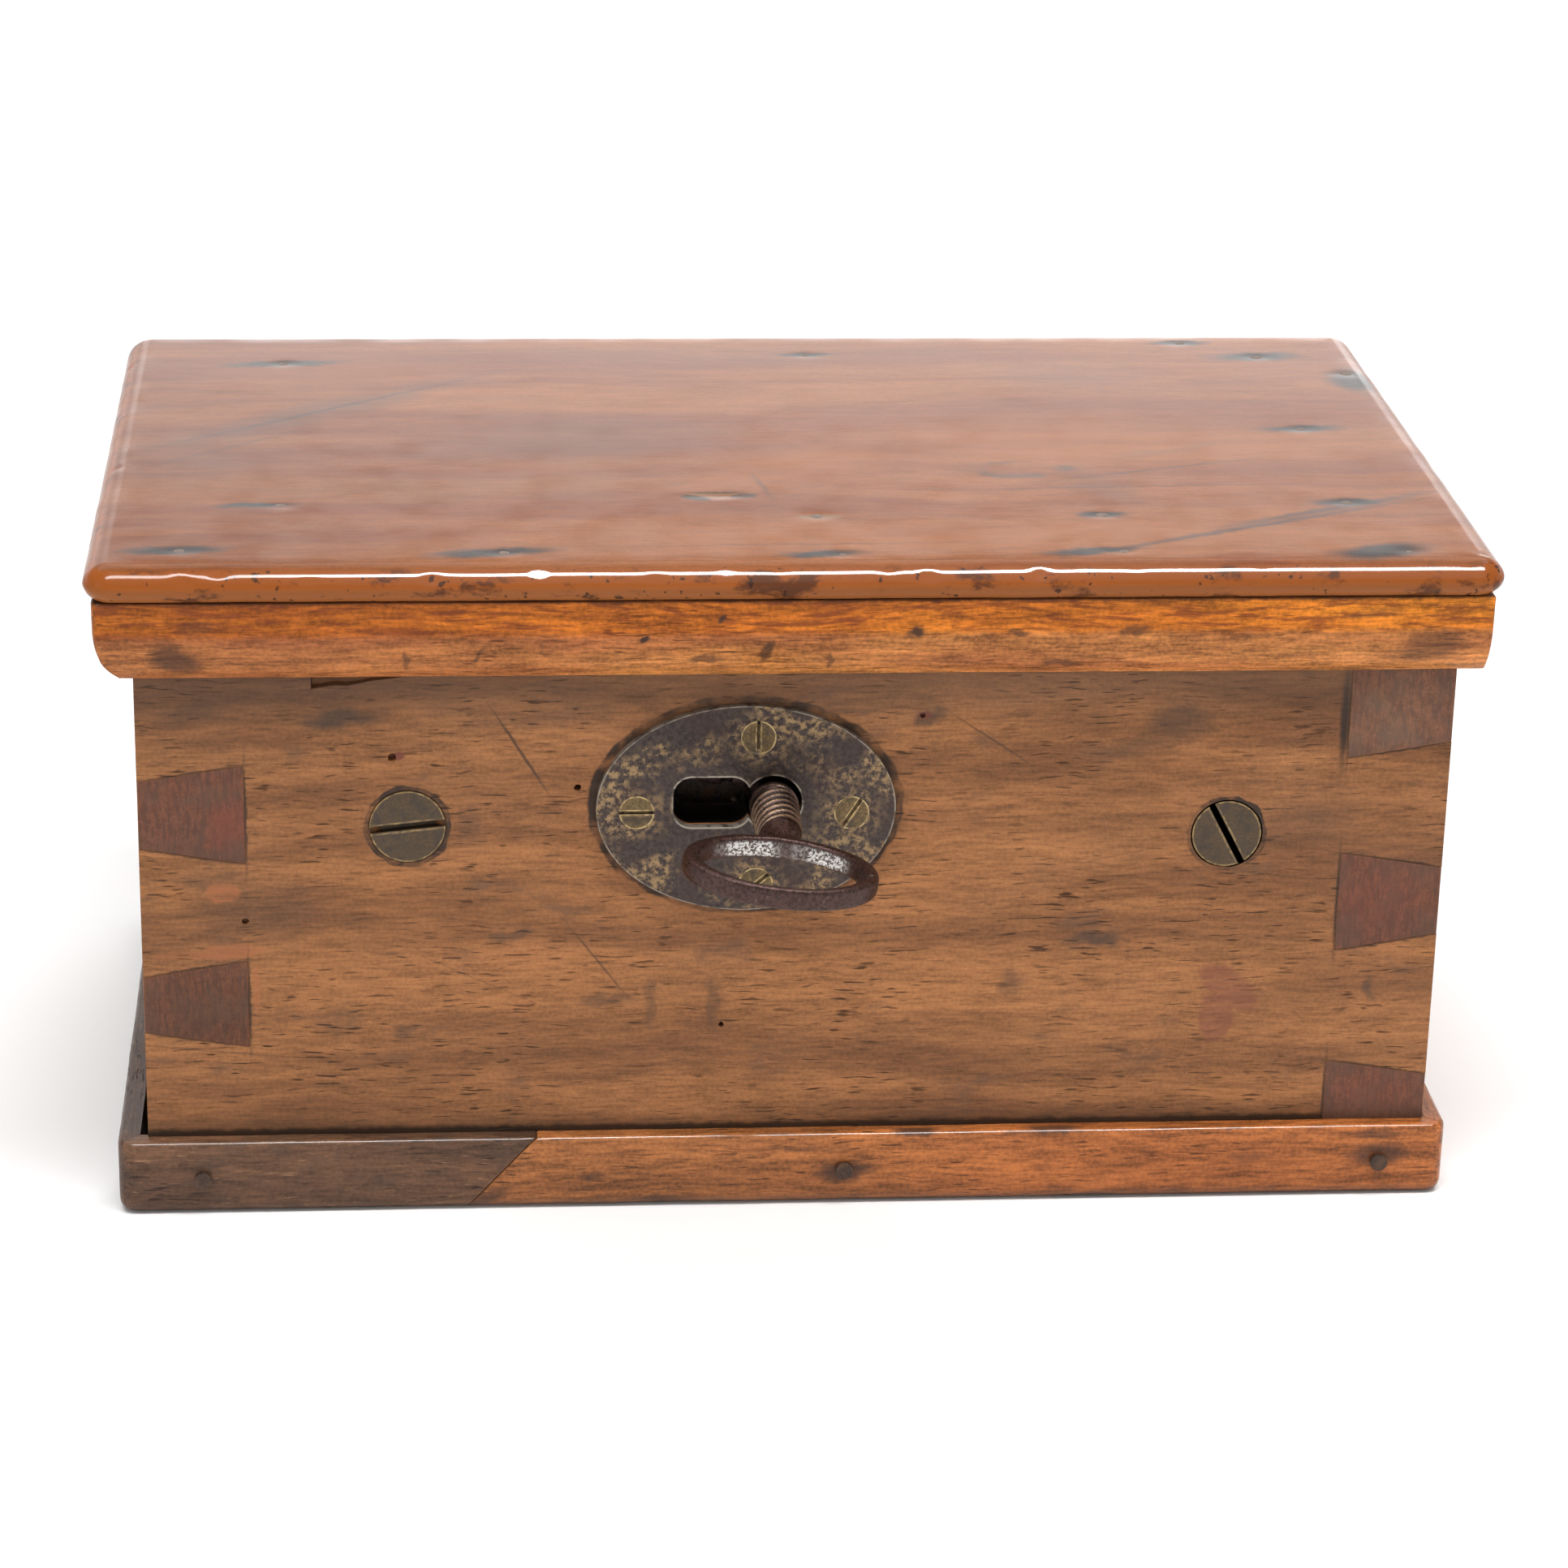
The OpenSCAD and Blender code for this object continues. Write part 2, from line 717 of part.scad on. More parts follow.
// One hinge's knuckle axis runs along X at the origin. up is 1 for the lid's leaf and -1 for the body's.
module hinge_leaf(up, bore_r) {
    z0 = up > 0 ? lid_gap / 2 : -lid_gap / 2 - leaf_t;
    third = knuckle_w + knuckle_gap;
    room_half = third / 2 + knuckle_gap;
    own = up > 0 ? [0] : [-third, third];
    other = up > 0 ? [-third, third] : [0];
    difference() {
        union() {
            difference() {
                block([-hinge_w / 2, -leaf_reach, z0], [hinge_w / 2, 0, z0 + leaf_t]);
                for (x = other) {
                    translate([x, 0, 0]) rod_x(-room_half, room_half, knuckle_r + knuckle_room);
                }
            }
            for (x = own) {
                translate([x, 0, 0]) rod_x(-knuckle_w / 2, knuckle_w / 2, knuckle_r);
            }
        }
        rod_x(-hinge_w, hinge_w, bore_r);
        for (x = hinge_screw_steps) {
            translate([x, hinge_screw_row(x), up * lid_gap / 2]) hinge_screw_turn(up) {
                screw_hole(hinge_screw_size, screw_hole_l);
            }
        }
    }
}

// The middle screw of each leaf stands nearer the front edge
function hinge_screw_row(x) = x == 0 ? -11.5 : -7;

// Screws in the body's leaf point down and those in the lid's leaf point up
module hinge_screw_turn(up) {
    if (up > 0) {
        mirror([0, 0, 1]) children();
    } else {
        children();
    }
}

// The three screws of one leaf
module leaf_screws(up) {
    for (x = hinge_screw_steps) {
        translate([x, hinge_screw_row(x), up * lid_gap / 2]) hinge_screw_turn(up) {
            screw(hinge_screw_size, hinge_screw_l, hinge_slot_turn);
        }
    }
}

module hinge_left_lower() {
    color(old_brass) translate([-hinge_x, axis_y, axis_z]) hinge_leaf(-1, hinge_pin_r);
}

module hinge_right_lower() {
    color(old_brass) translate([hinge_x, axis_y, axis_z]) hinge_leaf(-1, hinge_pin_r);
}

module hinge_left_upper() {
    color(old_brass) translate([-hinge_x, axis_y, axis_z]) hinge_leaf(1, hinge_pin_r + pin_play);
}

module hinge_right_upper() {
    color(old_brass) translate([hinge_x, axis_y, axis_z]) hinge_leaf(1, hinge_pin_r + pin_play);
}

module hinge_pins() {
    color(iron) for (x = [-hinge_x, hinge_x]) {
        translate([x, axis_y, axis_z]) rod_x(-hinge_w / 2, hinge_w / 2, hinge_pin_r);
    }
}

module hinge_screws_lower() {
    color(old_brass) for (x = [-hinge_x, hinge_x]) {
        translate([x, axis_y, axis_z]) leaf_screws(-1);
    }
}

module hinge_screws_upper() {
    color(old_brass) for (x = [-hinge_x, hinge_x]) {
        translate([x, axis_y, axis_z]) leaf_screws(1);
    }
}

// ---- lid ----

// The top board with its rounded nosing all round
module lid_board() {
    color(red_wood) hull() {
        for (step = nosing) {
            inset = [step[1], step[1]];
            translate([0, 0, board_z + step[0] * (lid_board_t - 0.02)]) linear_extrude(0.02) {
                round_rect(
                    [lid_left, front_y - lid_over] + inset, [lid_right, half_d + lid_over] - inset,
                    lid_corner_r - step[1], $fn = 32
                );
            }
        }
    }
}

// A rail's cross-section: x runs outwards, y is the height, and the lower outer edge is an ovolo
module rail_profile() {
    square([rail_w - ovolo_r, rail_h]);
    translate([rail_w - ovolo_r, ovolo_h]) square([ovolo_r, rail_h - ovolo_h]);
    intersection() {
        translate([rail_w - ovolo_r, 0]) square([ovolo_r, ovolo_h]);
        translate([rail_w - ovolo_r, ovolo_h]) circle(ovolo_r, $fn = 96);
    }
}

// The hook plate's seat in the underside of the front rail
module hook_leaf_block(top) {
    mid_y = (bolt_y0 + bolt_y1) / 2;
    block([hook_leaf[0], mid_y - hook_leaf_d / 2, rail_z - (top > 0 ? 1 : 0)],
          [hook_leaf[1], mid_y + hook_leaf_d / 2, rail_z + hook_leaf_t]);
}

module lid_rail_front() {
    color(red_wood) difference() {
        intersection() {
            translate([rail_right - butt_step, rail_front + rail_w, rail_z]) rotate([90, 0, -90]) {
                linear_extrude(rail_right - butt_step - rail_left) rail_profile();
            }
            translate([0, 0, rail_z - 1]) linear_extrude(rail_h + 2) polygon([
                [rail_left, rail_front],
                [rail_right, rail_front],
                [rail_right, rail_front + rail_w],
                [rail_left + rail_w, rail_front + rail_w]
            ]);
        }
        hook_leaf_block(1);
    }
}

module lid_rail_left() {
    color(red_wood) intersection() {
        translate([rail_left + rail_w, rail_front, rail_z]) rotate([90, 0, 180]) {
            linear_extrude(rail_back - rail_front) rail_profile();
        }
        translate([0, 0, rail_z - 1]) linear_extrude(rail_h + 2) polygon([
            [rail_left, rail_front],
            [rail_left + rail_w, rail_front + rail_w],
            [rail_left + rail_w, rail_back],
            [rail_left, rail_back]
        ]);
    }
}

// The right rail is plainer: a square edge, softened at its foot
module lid_rail_right() {
    foot = 2.5;
    run = rail_back - rail_front - rail_w;
    place = [rail_right - rail_w, rail_back, rail_z];
    color(red_wood) translate(place) rotate([90, 0, 0]) linear_extrude(run) {
        square([rail_w - foot, rail_h]);
        translate([0, foot]) square([rail_w, rail_h - foot]);
        translate([rail_w - foot, foot]) circle(foot);
    }
}

module lid_rail_back() {
    notch = knuckle_r + knuckle_room;
    color(raw_wood) difference() {
        block([rail_left + rail_w, rail_back - rail_w, rail_z], [rail_right - rail_w, rail_back, board_z]);
        for (x = [-hinge_x, hinge_x]) {
            sides = [x - hinge_w / 2, x + hinge_w / 2];
            block([sides[0], axis_y - leaf_reach, rail_z - 1], [sides[1], rail_back + 1, rail_z + leaf_t]);
            block([sides[0], axis_y - notch, rail_z - 1], [sides[1], rail_back + 1, axis_z + notch]);
        }
    }
}

module lid_nails() {
    color(iron) for (at = lid_nails_at) {
        translate([at[0], at[1], lid_top]) nail(lid_nail_l);
    }
}

// ---- hook plate in the lid ----

module hook_plate() {
    mid_y = (bolt_y0 + bolt_y1) / 2;
    tongue = [mid_y - tongue_half, mid_y + tongue_half];
    color(iron) difference() {
        union() {
            hook_leaf_block(0);
            block([hook_x[0], tongue[0], hook_z0], [hook_x[1], tongue[1], rail_z + eps]);
        }
        block(
            [hook_x[0] - 1, tongue[0] - 1, nose_z0 - 0.6],
            [hook_x[0] + hook_throat, tongue[1] + 1, bolt_top + 0.6]
        );
        for (x = hook_screw_x) {
            translate([x, mid_y, rail_z]) mirror([0, 0, 1]) screw_hole(lock_screw_size, screw_hole_l);
        }
    }
}

module hook_screws() {
    mid_y = (bolt_y0 + bolt_y1) / 2;
    color(old_brass) for (x = hook_screw_x) {
        translate([x, mid_y, rail_z]) mirror([0, 0, 1]) {
            screw(lock_screw_size, hook_screw_l, hook_slot_turn);
        }
    }
}

front_board();
back_board();
left_side();
right_side();
bottom_board();
bottom_nails();
plinth_front();
plinth_patch();
plinth_left();
plinth_right();
plinth_back();
plinth_nails();
lock_batten();
front_screw_left();
front_screw_right();
escutcheon();
escutcheon_screws();
lock_plate();
lock_cap();
lock_ward();
drill_pin();
bolt_guides();
lock_screws();
lock_bolt();
bolt_spring();
key();
hinge_left_lower();
hinge_right_lower();
hinge_pins();
hinge_screws_lower();
hinge_left_upper();
hinge_right_upper();
hinge_screws_upper();
lid_board();
lid_rail_front();
lid_rail_left();
lid_rail_right();
lid_rail_back();
lid_nails();
hook_plate();
hook_screws();
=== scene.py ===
"""Looks for a small dovetailed wooden money box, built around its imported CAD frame.

Lengths are in metres, except where a name or a comment says mm. +X is right, +Y back, +Z up.
"""

import math
import random

import bmesh
import bpy
from mathutils import Matrix, Vector, noise


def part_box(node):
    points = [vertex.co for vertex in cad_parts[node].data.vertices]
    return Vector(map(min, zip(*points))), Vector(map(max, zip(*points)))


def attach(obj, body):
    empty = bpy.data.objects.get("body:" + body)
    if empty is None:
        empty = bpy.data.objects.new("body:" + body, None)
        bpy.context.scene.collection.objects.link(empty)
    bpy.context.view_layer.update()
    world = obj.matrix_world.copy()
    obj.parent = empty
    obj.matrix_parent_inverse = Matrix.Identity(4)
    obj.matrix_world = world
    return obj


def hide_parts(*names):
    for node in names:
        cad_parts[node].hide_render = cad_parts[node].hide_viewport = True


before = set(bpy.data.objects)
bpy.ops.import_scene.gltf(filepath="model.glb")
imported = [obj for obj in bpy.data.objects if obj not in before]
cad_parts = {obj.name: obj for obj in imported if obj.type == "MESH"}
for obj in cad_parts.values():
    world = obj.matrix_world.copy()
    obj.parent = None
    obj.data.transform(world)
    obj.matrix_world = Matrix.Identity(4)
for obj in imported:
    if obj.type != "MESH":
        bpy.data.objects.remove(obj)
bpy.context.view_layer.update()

MM = 0.001
WELD_GAP = 2e-6                                  # corners closer than this, in metres, are one
SMOOTH_ANGLE = math.radians(38)                  # edges sharper than this stay sharp

# From here on lengths are in mm and angles in degrees, unless they say otherwise
FRONT_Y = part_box("front_board")[0].y / MM        # front face of the body
LID_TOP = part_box("lid_board")[1].z / MM
RAIL_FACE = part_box("lid_rail_front")[0].y / MM   # front of the lid's moulding
PLINTH_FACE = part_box("plinth_front")[0].y / MM
KEY_X, KEY_Z, KEY_TILT = -5.2, 84.2, 7.0         # the key's axis, and its lean
BOW_GAP = 23.2                                   # from the body's front to the key's bow
BOW_L, BOW_W, BOW_T = 26.8, 36.5, 4.2            # the bow's length, width and thickness
NECK_RINGS = (FRONT_Y - BOW_GAP + 4.2, FRONT_Y - 5.0)   # both ends of the worn rings on the key's neck
NECK_R = (4.0, 4.5)                              # the neck's radius at those ends
PLATE_T = 1.8                                    # thickness of the keyhole plate


def box_mm(node):
    """The low and the high corner of a CAD node's box."""
    return [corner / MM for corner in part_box(node)]


# ---------------------------------------------------------------- node trees

class Nodes:
    """Short names for building one material. Positions and sizes in it are in mm."""

    def __init__(self, name):
        self.material = bpy.data.materials.new(name)
        self.material.use_nodes = True
        self.tree = self.material.node_tree
        self.shader = self.tree.nodes["Principled BSDF"]
        self.at = self.vector("SCALE", self.add("ShaderNodeTexCoord", out="Object"), scale=1000.0)

    def add(self, kind, inputs=(), out=0, **settings):
        node = self.tree.nodes.new(kind)
        for key, value in settings.items():
            setattr(node, key, value)
        for key, value in dict(inputs).items():
            self.feed(node.inputs[key], value)
        return node.outputs[out]

    def feed(self, socket, value):
        if isinstance(value, bpy.types.NodeSocket):
            self.tree.links.new(value, socket)
        elif socket.type == "RGBA" and len(value) == 3:
            socket.default_value = (*value, 1.0)
        else:
            socket.default_value = value

    def math(self, operation, a, b=0.0, clamp=False):
        return self.add("ShaderNodeMath", {0: a, 1: b}, operation=operation, use_clamp=clamp)

    def times(self, first, *others):
        for other in others:
            first = self.math("MULTIPLY", first, other)
        return first

    def vector(self, operation, a, b=(0.0, 0.0, 0.0), scale=1.0, out=0):
        return self.add("ShaderNodeVectorMath", {0: a, 1: b, 3: scale}, out, operation=operation)

    def noise(self, at, size, detail=2.0, rough=0.5, out=0):
        """Noise with features of that size."""
        inputs = {"Vector": at, "Scale": 1.0 / size, "Detail": detail, "Roughness": rough}
        return self.add("ShaderNodeTexNoise", inputs, out)

    def span(self, value, low, high, to_low=0.0, to_high=1.0):
        """The value eased from one range to another."""
        inputs = {0: value, 1: low, 2: high, 3: to_low, 4: to_high}
        return self.add("ShaderNodeMapRange", inputs, interpolation_type="SMOOTHSTEP")

    def mix(self, share, a, b, blend="MIX"):
        inputs = {0: share, 6: a, 7: b}
        return self.add("ShaderNodeMix", inputs, 2, data_type="RGBA", blend_type=blend)

    def split(self, at, axis):
        return self.add("ShaderNodeSeparateXYZ", {0: at}, "XYZ".index(axis))

    def facing(self, axis):
        """How squarely the surface faces along an axis, from -1 to 1."""
        return self.split(self.add("ShaderNodeTexCoord", out="Normal"), axis)

    def along(self, axis, low, high, to_low=0.0, to_high=1.0, shake=()):
        """The place along an axis, eased from one range to another. shake makes that edge uneven."""
        at = self.shaken(self.at, *shake) if shake else self.at
        return self.span(self.split(at, axis), low, high, to_low, to_high)

    def shaken(self, at, size, reach, detail=2.0):
        """The place moved about by noise, so that what is drawn there gets an uneven edge."""
        shift = self.vector("SUBTRACT", self.noise(at, size, detail, out=1), (0.5, 0.5, 0.5))
        return self.vector("ADD", at, self.vector("SCALE", shift, scale=reach))

    def marks(self, at, plane, places, soft=0.5):
        """The strongest of several soft ovals: (across, up, half length, half width, turn, strength).
        at is a place, or the size, reach and detail of the noise that shakes it."""
        if isinstance(at, tuple):
            at = self.shaken(self.at, *at)
        found = None
        for u, v, a, b, turn, strength in places:
            far = 1e4
            if plane == "xz":
                where, size, spin = (u, 0, v), (a, far, b), (0, -math.radians(turn), 0)
            else:
                where, size, spin = (u, v, 0), (a, b, far), (0, 0, math.radians(turn))
            inputs = {"Vector": at, "Location": where, "Rotation": spin, "Scale": size}
            local = self.add("ShaderNodeMapping", inputs, vector_type="TEXTURE")
            reach = self.vector("LENGTH", local, out=1)
            one = self.span(reach, 1 - soft, 1 + soft, strength, 0.0)
            found = one if found is None else self.math("MAXIMUM", found, one)
        return found

    def out_from(self, at, u, v, half_u, half_v):
        """How far out a place is in X and Z from the middle of an oval, 1 being on its edge."""
        inputs = {"Vector": at, "Location": (u, 0, v), "Scale": (half_u, 1e4, half_v)}
        return self.vector("LENGTH", self.add("ShaderNodeMapping", inputs, vector_type="TEXTURE"), out=1)

    def ring(self, at, u, v, half_u, half_v, width):
        """A band of that width, in mm, just inside the edge of an oval in X and Z."""
        out = self.out_from(at, u, v, half_u, half_v)
        share = width / min(half_u, half_v)
        return self.times(self.span(out, 1 - 1.4 * share, 1 - 0.6 * share), self.span(out, 1.02, 1.0))

    def strongest(self, masks):
        found = masks[0]
        for mask in masks[1:]:
            found = self.math("MAXIMUM", found, mask)
        return found

    def bump(self, height, depth_mm, strength=1.0):
        inputs = {"Height": height, "Distance": depth_mm * MM, "Strength": strength}
        self.feed(self.shader.inputs["Normal"], self.add("ShaderNodeBump", inputs))

    def finish(self, colour, rough, **uniform):
        self.feed(self.shader.inputs["Base Color"], colour)
        self.feed(self.shader.inputs["Roughness"], rough)
        for key, value in uniform.items():
            self.shader.inputs[key.replace("_", " ")].default_value = value
        return self.material


class Wood(Nodes):
    """Wood with its grain along one axis: figure, fibres, pores and darker end grain."""

    def __init__(self, name, grain, light, dark, end, pore=0.5, figure=(0.4, 0.62), seed=0.0, contrast=1.0):
        super().__init__(name)
        squeeze = [1.0, 1.0, 1.0]
        squeeze["xyz".index(grain)] = 0.1
        start = self.vector("ADD", self.at, (seed, seed * 1.7, seed * 0.6))
        self.flow = self.vector("MULTIPLY", self.shaken(start, 70.0, 14.0), tuple(squeeze))
        self.fine = self.vector("MULTIPLY", self.shaken(start, 9.0, 1.2), tuple(squeeze))
        broad = self.noise(self.flow, 16.0, 3.0, 0.55)
        bands = self.noise(self.flow, 3.4, 4.0, 0.62)
        fibres = self.noise(self.fine, 0.7, 3.0, 0.6)
        speck = self.noise(self.at, 0.8, 2.0, 0.6)
        base = self.mix(self.span(broad, *figure), light, dark)
        bold, thin, dots = 0.17 * contrast, 0.18 * contrast, 0.1 * contrast
        tone = self.math("ADD", self.span(bands, 0.3, 0.7, 1 - bold, 1 + bold),
                         self.span(fibres, 0.32, 0.68, -thin, thin))
        tone = self.math("ADD", tone, self.span(speck, 0.35, 0.65, -dots, dots))
        base = self.vector("SCALE", base, scale=tone)
        where_pores = self.span(self.noise(self.at, 24.0, 3.0, 0.6), 0.36, 0.6, 0.25, 1.0)
        dashes = self.span(self.noise(self.fine, 0.55, 1.0), 0.6, 0.72)
        self.pores = self.times(dashes, where_pores, pore)
        self.colour = self.mix(self.pores, base, tuple(0.32 * c for c in dark))
        facing = self.facing(grain.upper())
        self.end = self.span(self.math("ABSOLUTE", facing), 0.75, 0.95)
        rings = self.span(self.noise(self.flow, 1.6, 3.0, 0.6), 0.3, 0.7, 0.82, 1.15)
        grit = self.span(self.noise(self.at, 0.5, 2.0), 0.3, 0.7, 0.88, 1.1)
        end_colour = self.vector("SCALE", end, scale=self.times(rings, grit))
        self.colour = self.mix(self.end, self.colour, end_colour)
        self.height = self.math("SUBTRACT", self.times(fibres, 0.5), self.pores)
        self.rough = self.pores

    def stain(self, mask, colour, blend="MIX"):
        self.colour = self.mix(mask, self.colour, colour, blend)

    def polish_edges(self, weight):
        """A coat of polish on the rounded upper edges only."""
        upward = self.facing("Z")
        rounded = self.times(self.span(upward, 0.3, 0.55), self.span(upward, 0.93, 0.86))
        sideways = self.facing("X")
        rounded = self.times(rounded, self.span(self.math("ABSOLUTE", sideways), 0.04, 0.25, 1.0, 0.12))
        self.feed(self.shader.inputs["Coat Weight"], self.times(rounded, weight))

    def done(self, rough=(0.34, 0.5), depth_mm=0.06, **uniform):
        smear = self.noise(self.at, 11.0, 3.0, 0.6)
        gloss = self.math("ADD", self.span(smear, 0.3, 0.7, rough[0], rough[1]),
                          self.times(self.rough, 0.25))
        self.bump(self.height, depth_mm)
        return self.finish(self.colour, gloss, **uniform)


# ---------------------------------------------------------------- wood finishes

GREASE = (0.055, 0.036, 0.026)
# Painted shade for the walls of the keyhole through the front board
KEYHOLE_SHADE = (0.004, 0.003, 0.002)
# The dovetail pins: side, lower and upper edge at the inner face
PINS = [(-1, 34, 52), (-1, 72, 92), (1, 10, 28), (1, 51.5, 72), (1, 91.5, 109.8)]
PIN_SLOPE = 3.2
PIN_INNER = 105.0
WALL = 20.0
ESCUTCHEON = (-10.3, 83.0, 28.5, 20.75)          # middle and half sizes, in X and Z
KEYHOLE_SLOT = (-16.85, 84.35, 7.35, 5.05, 3.6)  # middle, half sizes and corner radius
KEYHOLE_ROUND = (-5.2, 84.2, 5.5)                # middle and radius
BIG_SCREWS = [(-74.4, 79.3, 7.2, 6), (82.5, 76.2, 6.7, -62)]     # X, Z, radius and slot angle
SMALL_SCREWS = [(-31.1, 82.4), (-8.2, 97.4), (9.8, 82.0), (-8.3, 67.5)]
# Each lid nail's dark halo: nail x and y, shift along x, half length, half width and turn of the halo
NAIL_HALOS = [
    (-116, -68, -1, 9, 2.2, 3), (-98, -41, -5, 7, 1.6, 4), (-56, -70, -2, 11, 2.3, 8),
    (7, -72, -4, 7, 1.9, 6), (60, -71, -6, 9, 1.8, 10), (114, -72, -5, 9, 3.6, 14),
    (59, -49, 0, 4.5, 1.9, 0), (108, -42, 0, 6, 2.2, 3), (108, 7, 0, 8, 2.2, 4),
    (-100, 56, 0, 11, 2.2, 5), (11, 62, -1, 6, 1.4, 0), (108, 60, 0, 9, 3.0, 5), (93, 71, 0, 6, 2.0, 0),
    (126, 42, 0, 5, 8, 0)]


def joint_lines():
    """The dirty lines round the pins, as marks."""
    tilt = math.degrees(math.atan2(PIN_SLOPE, WALL))
    marks = []
    for side, low, high in PINS:
        middle = side * (PIN_INNER + WALL / 2)
        if high < 109:
            marks.append((middle, high - PIN_SLOPE / 2, WALL / 2 + 0.5, 0.32, -side * tilt, 0.8))
        if low > 11:
            marks.append((middle, low + PIN_SLOPE / 2, WALL / 2 + 0.5, 0.28, side * tilt, 0.7))
        marks.append((side * (PIN_INNER - 0.1), (low + high) / 2, 0.35, (high - low) / 2 + 0.4, 0, 0.85))
    return marks


def body_wood():
    w = Wood("body_wood_tan", "x", (0.3, 0.124, 0.045), (0.182, 0.074, 0.028), (0.1, 0.036, 0.018), 1.0)
    loose = w.shaken(w.at, 7.0, 7.0, 4.0)
    smudge = w.span(w.noise(w.vector("MULTIPLY", loose, (0.45, 1, 1)), 9.0, 4.0, 0.6), 0.56, 0.72, 0.0, 0.5)
    w.stain(smudge, (0.105, 0.058, 0.036))
    in_front = w.along("Y", FRONT_Y + 1.5, FRONT_Y + 0.5)
    dark = w.marks(loose, "xz", [
        (-87, 101.3, 6.5, 1.4, 4, 0.75), (-114, 102.5, 6, 2.2, 6, 0.5), (72, 99.5, 5, 3.6, 0, 0.55),
        (64, 94, 8, 2.6, 10, 0.35), (58, 54.5, 4.6, 1.3, 6, 0.8), (-44, 62, 5, 1.2, -6, 0.45),
        (-55, 57, 4, 1.0, 4, 0.5), (-28, 42, 1.1, 4.2, 8, 0.4), (-15.5, 42, 1.2, 5.5, 0, 0.4),
        (-37, 42.5, 5, 1.2, 4, 0.5), (42, 46, 2.4, 2.2, 0, 0.45), (-88, 39, 4, 3, 0, 0.3),
        (113, 43, 1.0, 2.0, 30, 0.6), (-104, 62, 11, 6, 0, 0.35), (-111, 69, 7, 2, 0, 0.4),
        (24, 100.9, 2.2, 1.2, 0, 0.7), (-51, 101, 14, 1.6, 8, 0.3), (97, 79, 9, 5, 10, 0.3),
        (-75.5, 37.5, 2.2, 1, 0, 0.5), (-63, 79, 2.4, 4, 0, 0.3), (113, 63, 8, 3, 0, 0.4)], 0.6)
    w.stain(w.times(dark, in_front), GREASE)
    still = w.shaken(w.at, 1.2, 0.5)
    w.stain(w.along("X", -50.0, -105.0, 0.0, 0.7, shake=(30.0, 30.0)), (0.84, 0.84, 0.84), "MULTIPLY")
    fill = w.marks((2.4, 1.0), "xz", [
        (-109.4, 66.2, 3.4, 2.1, 0, 1), (-108.5, 53.9, 6.5, 1.5, 5, 1), (-117, 53.2, 6, 0.8, 2, 0.7),
        (-103.6, 46.5, 0.8, 5, 0, 0.8)], 0.15)
    patchy = w.span(w.noise(w.fine, 1.2, 3.0, 0.6), 0.3, 0.6, 0.35, 0.8)
    w.stain(w.times(fill, patchy, in_front), (0.33, 0.115, 0.045))
    red = w.marks((2.0, 1.2), "xz", [
        (84.6, 44, 7, 3.4, -40, 0.8), (82.5, 38.0, 3.4, 5.6, 0, 0.8)], 0.18)
    w.stain(w.times(red, patchy, in_front), (0.185, 0.06, 0.036))
    specks = w.marks(still, "xz", [(-76.0, 93.6, 1.2, 0.8, 0, 1), (23.4, 101.0, 1.5, 0.8, 0, 1)], 0.2)
    w.stain(specks, (0.16, 0.05, 0.03))
    lines = w.marks((3.0, 0.6), "xz", [
        (-53, 94.3, 9.4, 0.28, -58, 0.85), (37, 95.6, 9.5, 0.22, -34, 0.6),
        (-38.5, 51.5, 9.5, 0.22, -53, 0.6), (-60, 47, 14, 0.18, -25, 0.3), (62, 72, 9, 0.16, 12, 0.3),
        (-110, 33, 13, 0.2, -6, 0.4)], 0.6)
    w.stain(w.times(lines, in_front), (0.06, 0.032, 0.02))
    joints = w.marks((1.6, 0.7), "xz", joint_lines() + [(104.0, 100, 0.8, 9.3, 0, 0.95)], 0.6)
    w.stain(w.times(joints, in_front), (0.03, 0.018, 0.013))
    # Dark rings round the big screws and the keyhole plate: crusted dirt, with painted shade of the gaps
    # round them
    uneven = w.shaken(w.at, 4.0, 1.8, 4.0)
    crust_and_gap_shade = w.strongest([w.ring(uneven, x, z, r + 1.0, r + 1.0, 1.7) for x, z, r, _ in BIG_SCREWS])
    x, z, a, b = ESCUTCHEON
    round_plate = w.ring(uneven, x, z, a + 1.3, b + 1.3, 2.2)
    crust_and_gap_shade = w.times(w.strongest([crust_and_gap_shade, round_plate]), w.span(w.noise(w.at, 6.0, 3.0), 0.35, 0.6, 0.2, 0.95))
    w.stain(w.times(crust_and_gap_shade, in_front), (0.028, 0.017, 0.012))
    # Painted shade: the keyhole's walls inside the front board made nearly black
    y = w.split(w.at, "Y")
    inside = w.times(w.span(y, FRONT_Y + 0.2, FRONT_Y + 0.8), w.span(y, FRONT_Y + WALL, FRONT_Y + WALL - 1))
    w.stain(w.times(w.marks(w.at, "xz", [(-13, 84.3, 15, 9, 0, 1)], 0.2), inside), KEYHOLE_SHADE)
    foot = w.along("Z", 21.0, 14.5, 0.0, 0.7, shake=(4.0, 3.0, 3.0))
    w.stain(foot, (0.07, 0.04, 0.026))
    w.stain(w.along("Z", 17.0, 15.9, 0.0, 0.9, shake=(2.5, 1.4, 4.0)), (0.026, 0.016, 0.01))
    # Painted shadow: the front's top edge darkened where the lid's moulding overhangs it
    head = w.along("Z", 97.0, 109.0, 0.0, 0.5, shake=(9.0, 6.0, 3.0))
    w.stain(w.times(head, in_front), (0.1, 0.06, 0.04))
    return w.done((0.4, 0.55), 0.07, Specular_IOR_Level=0.22)


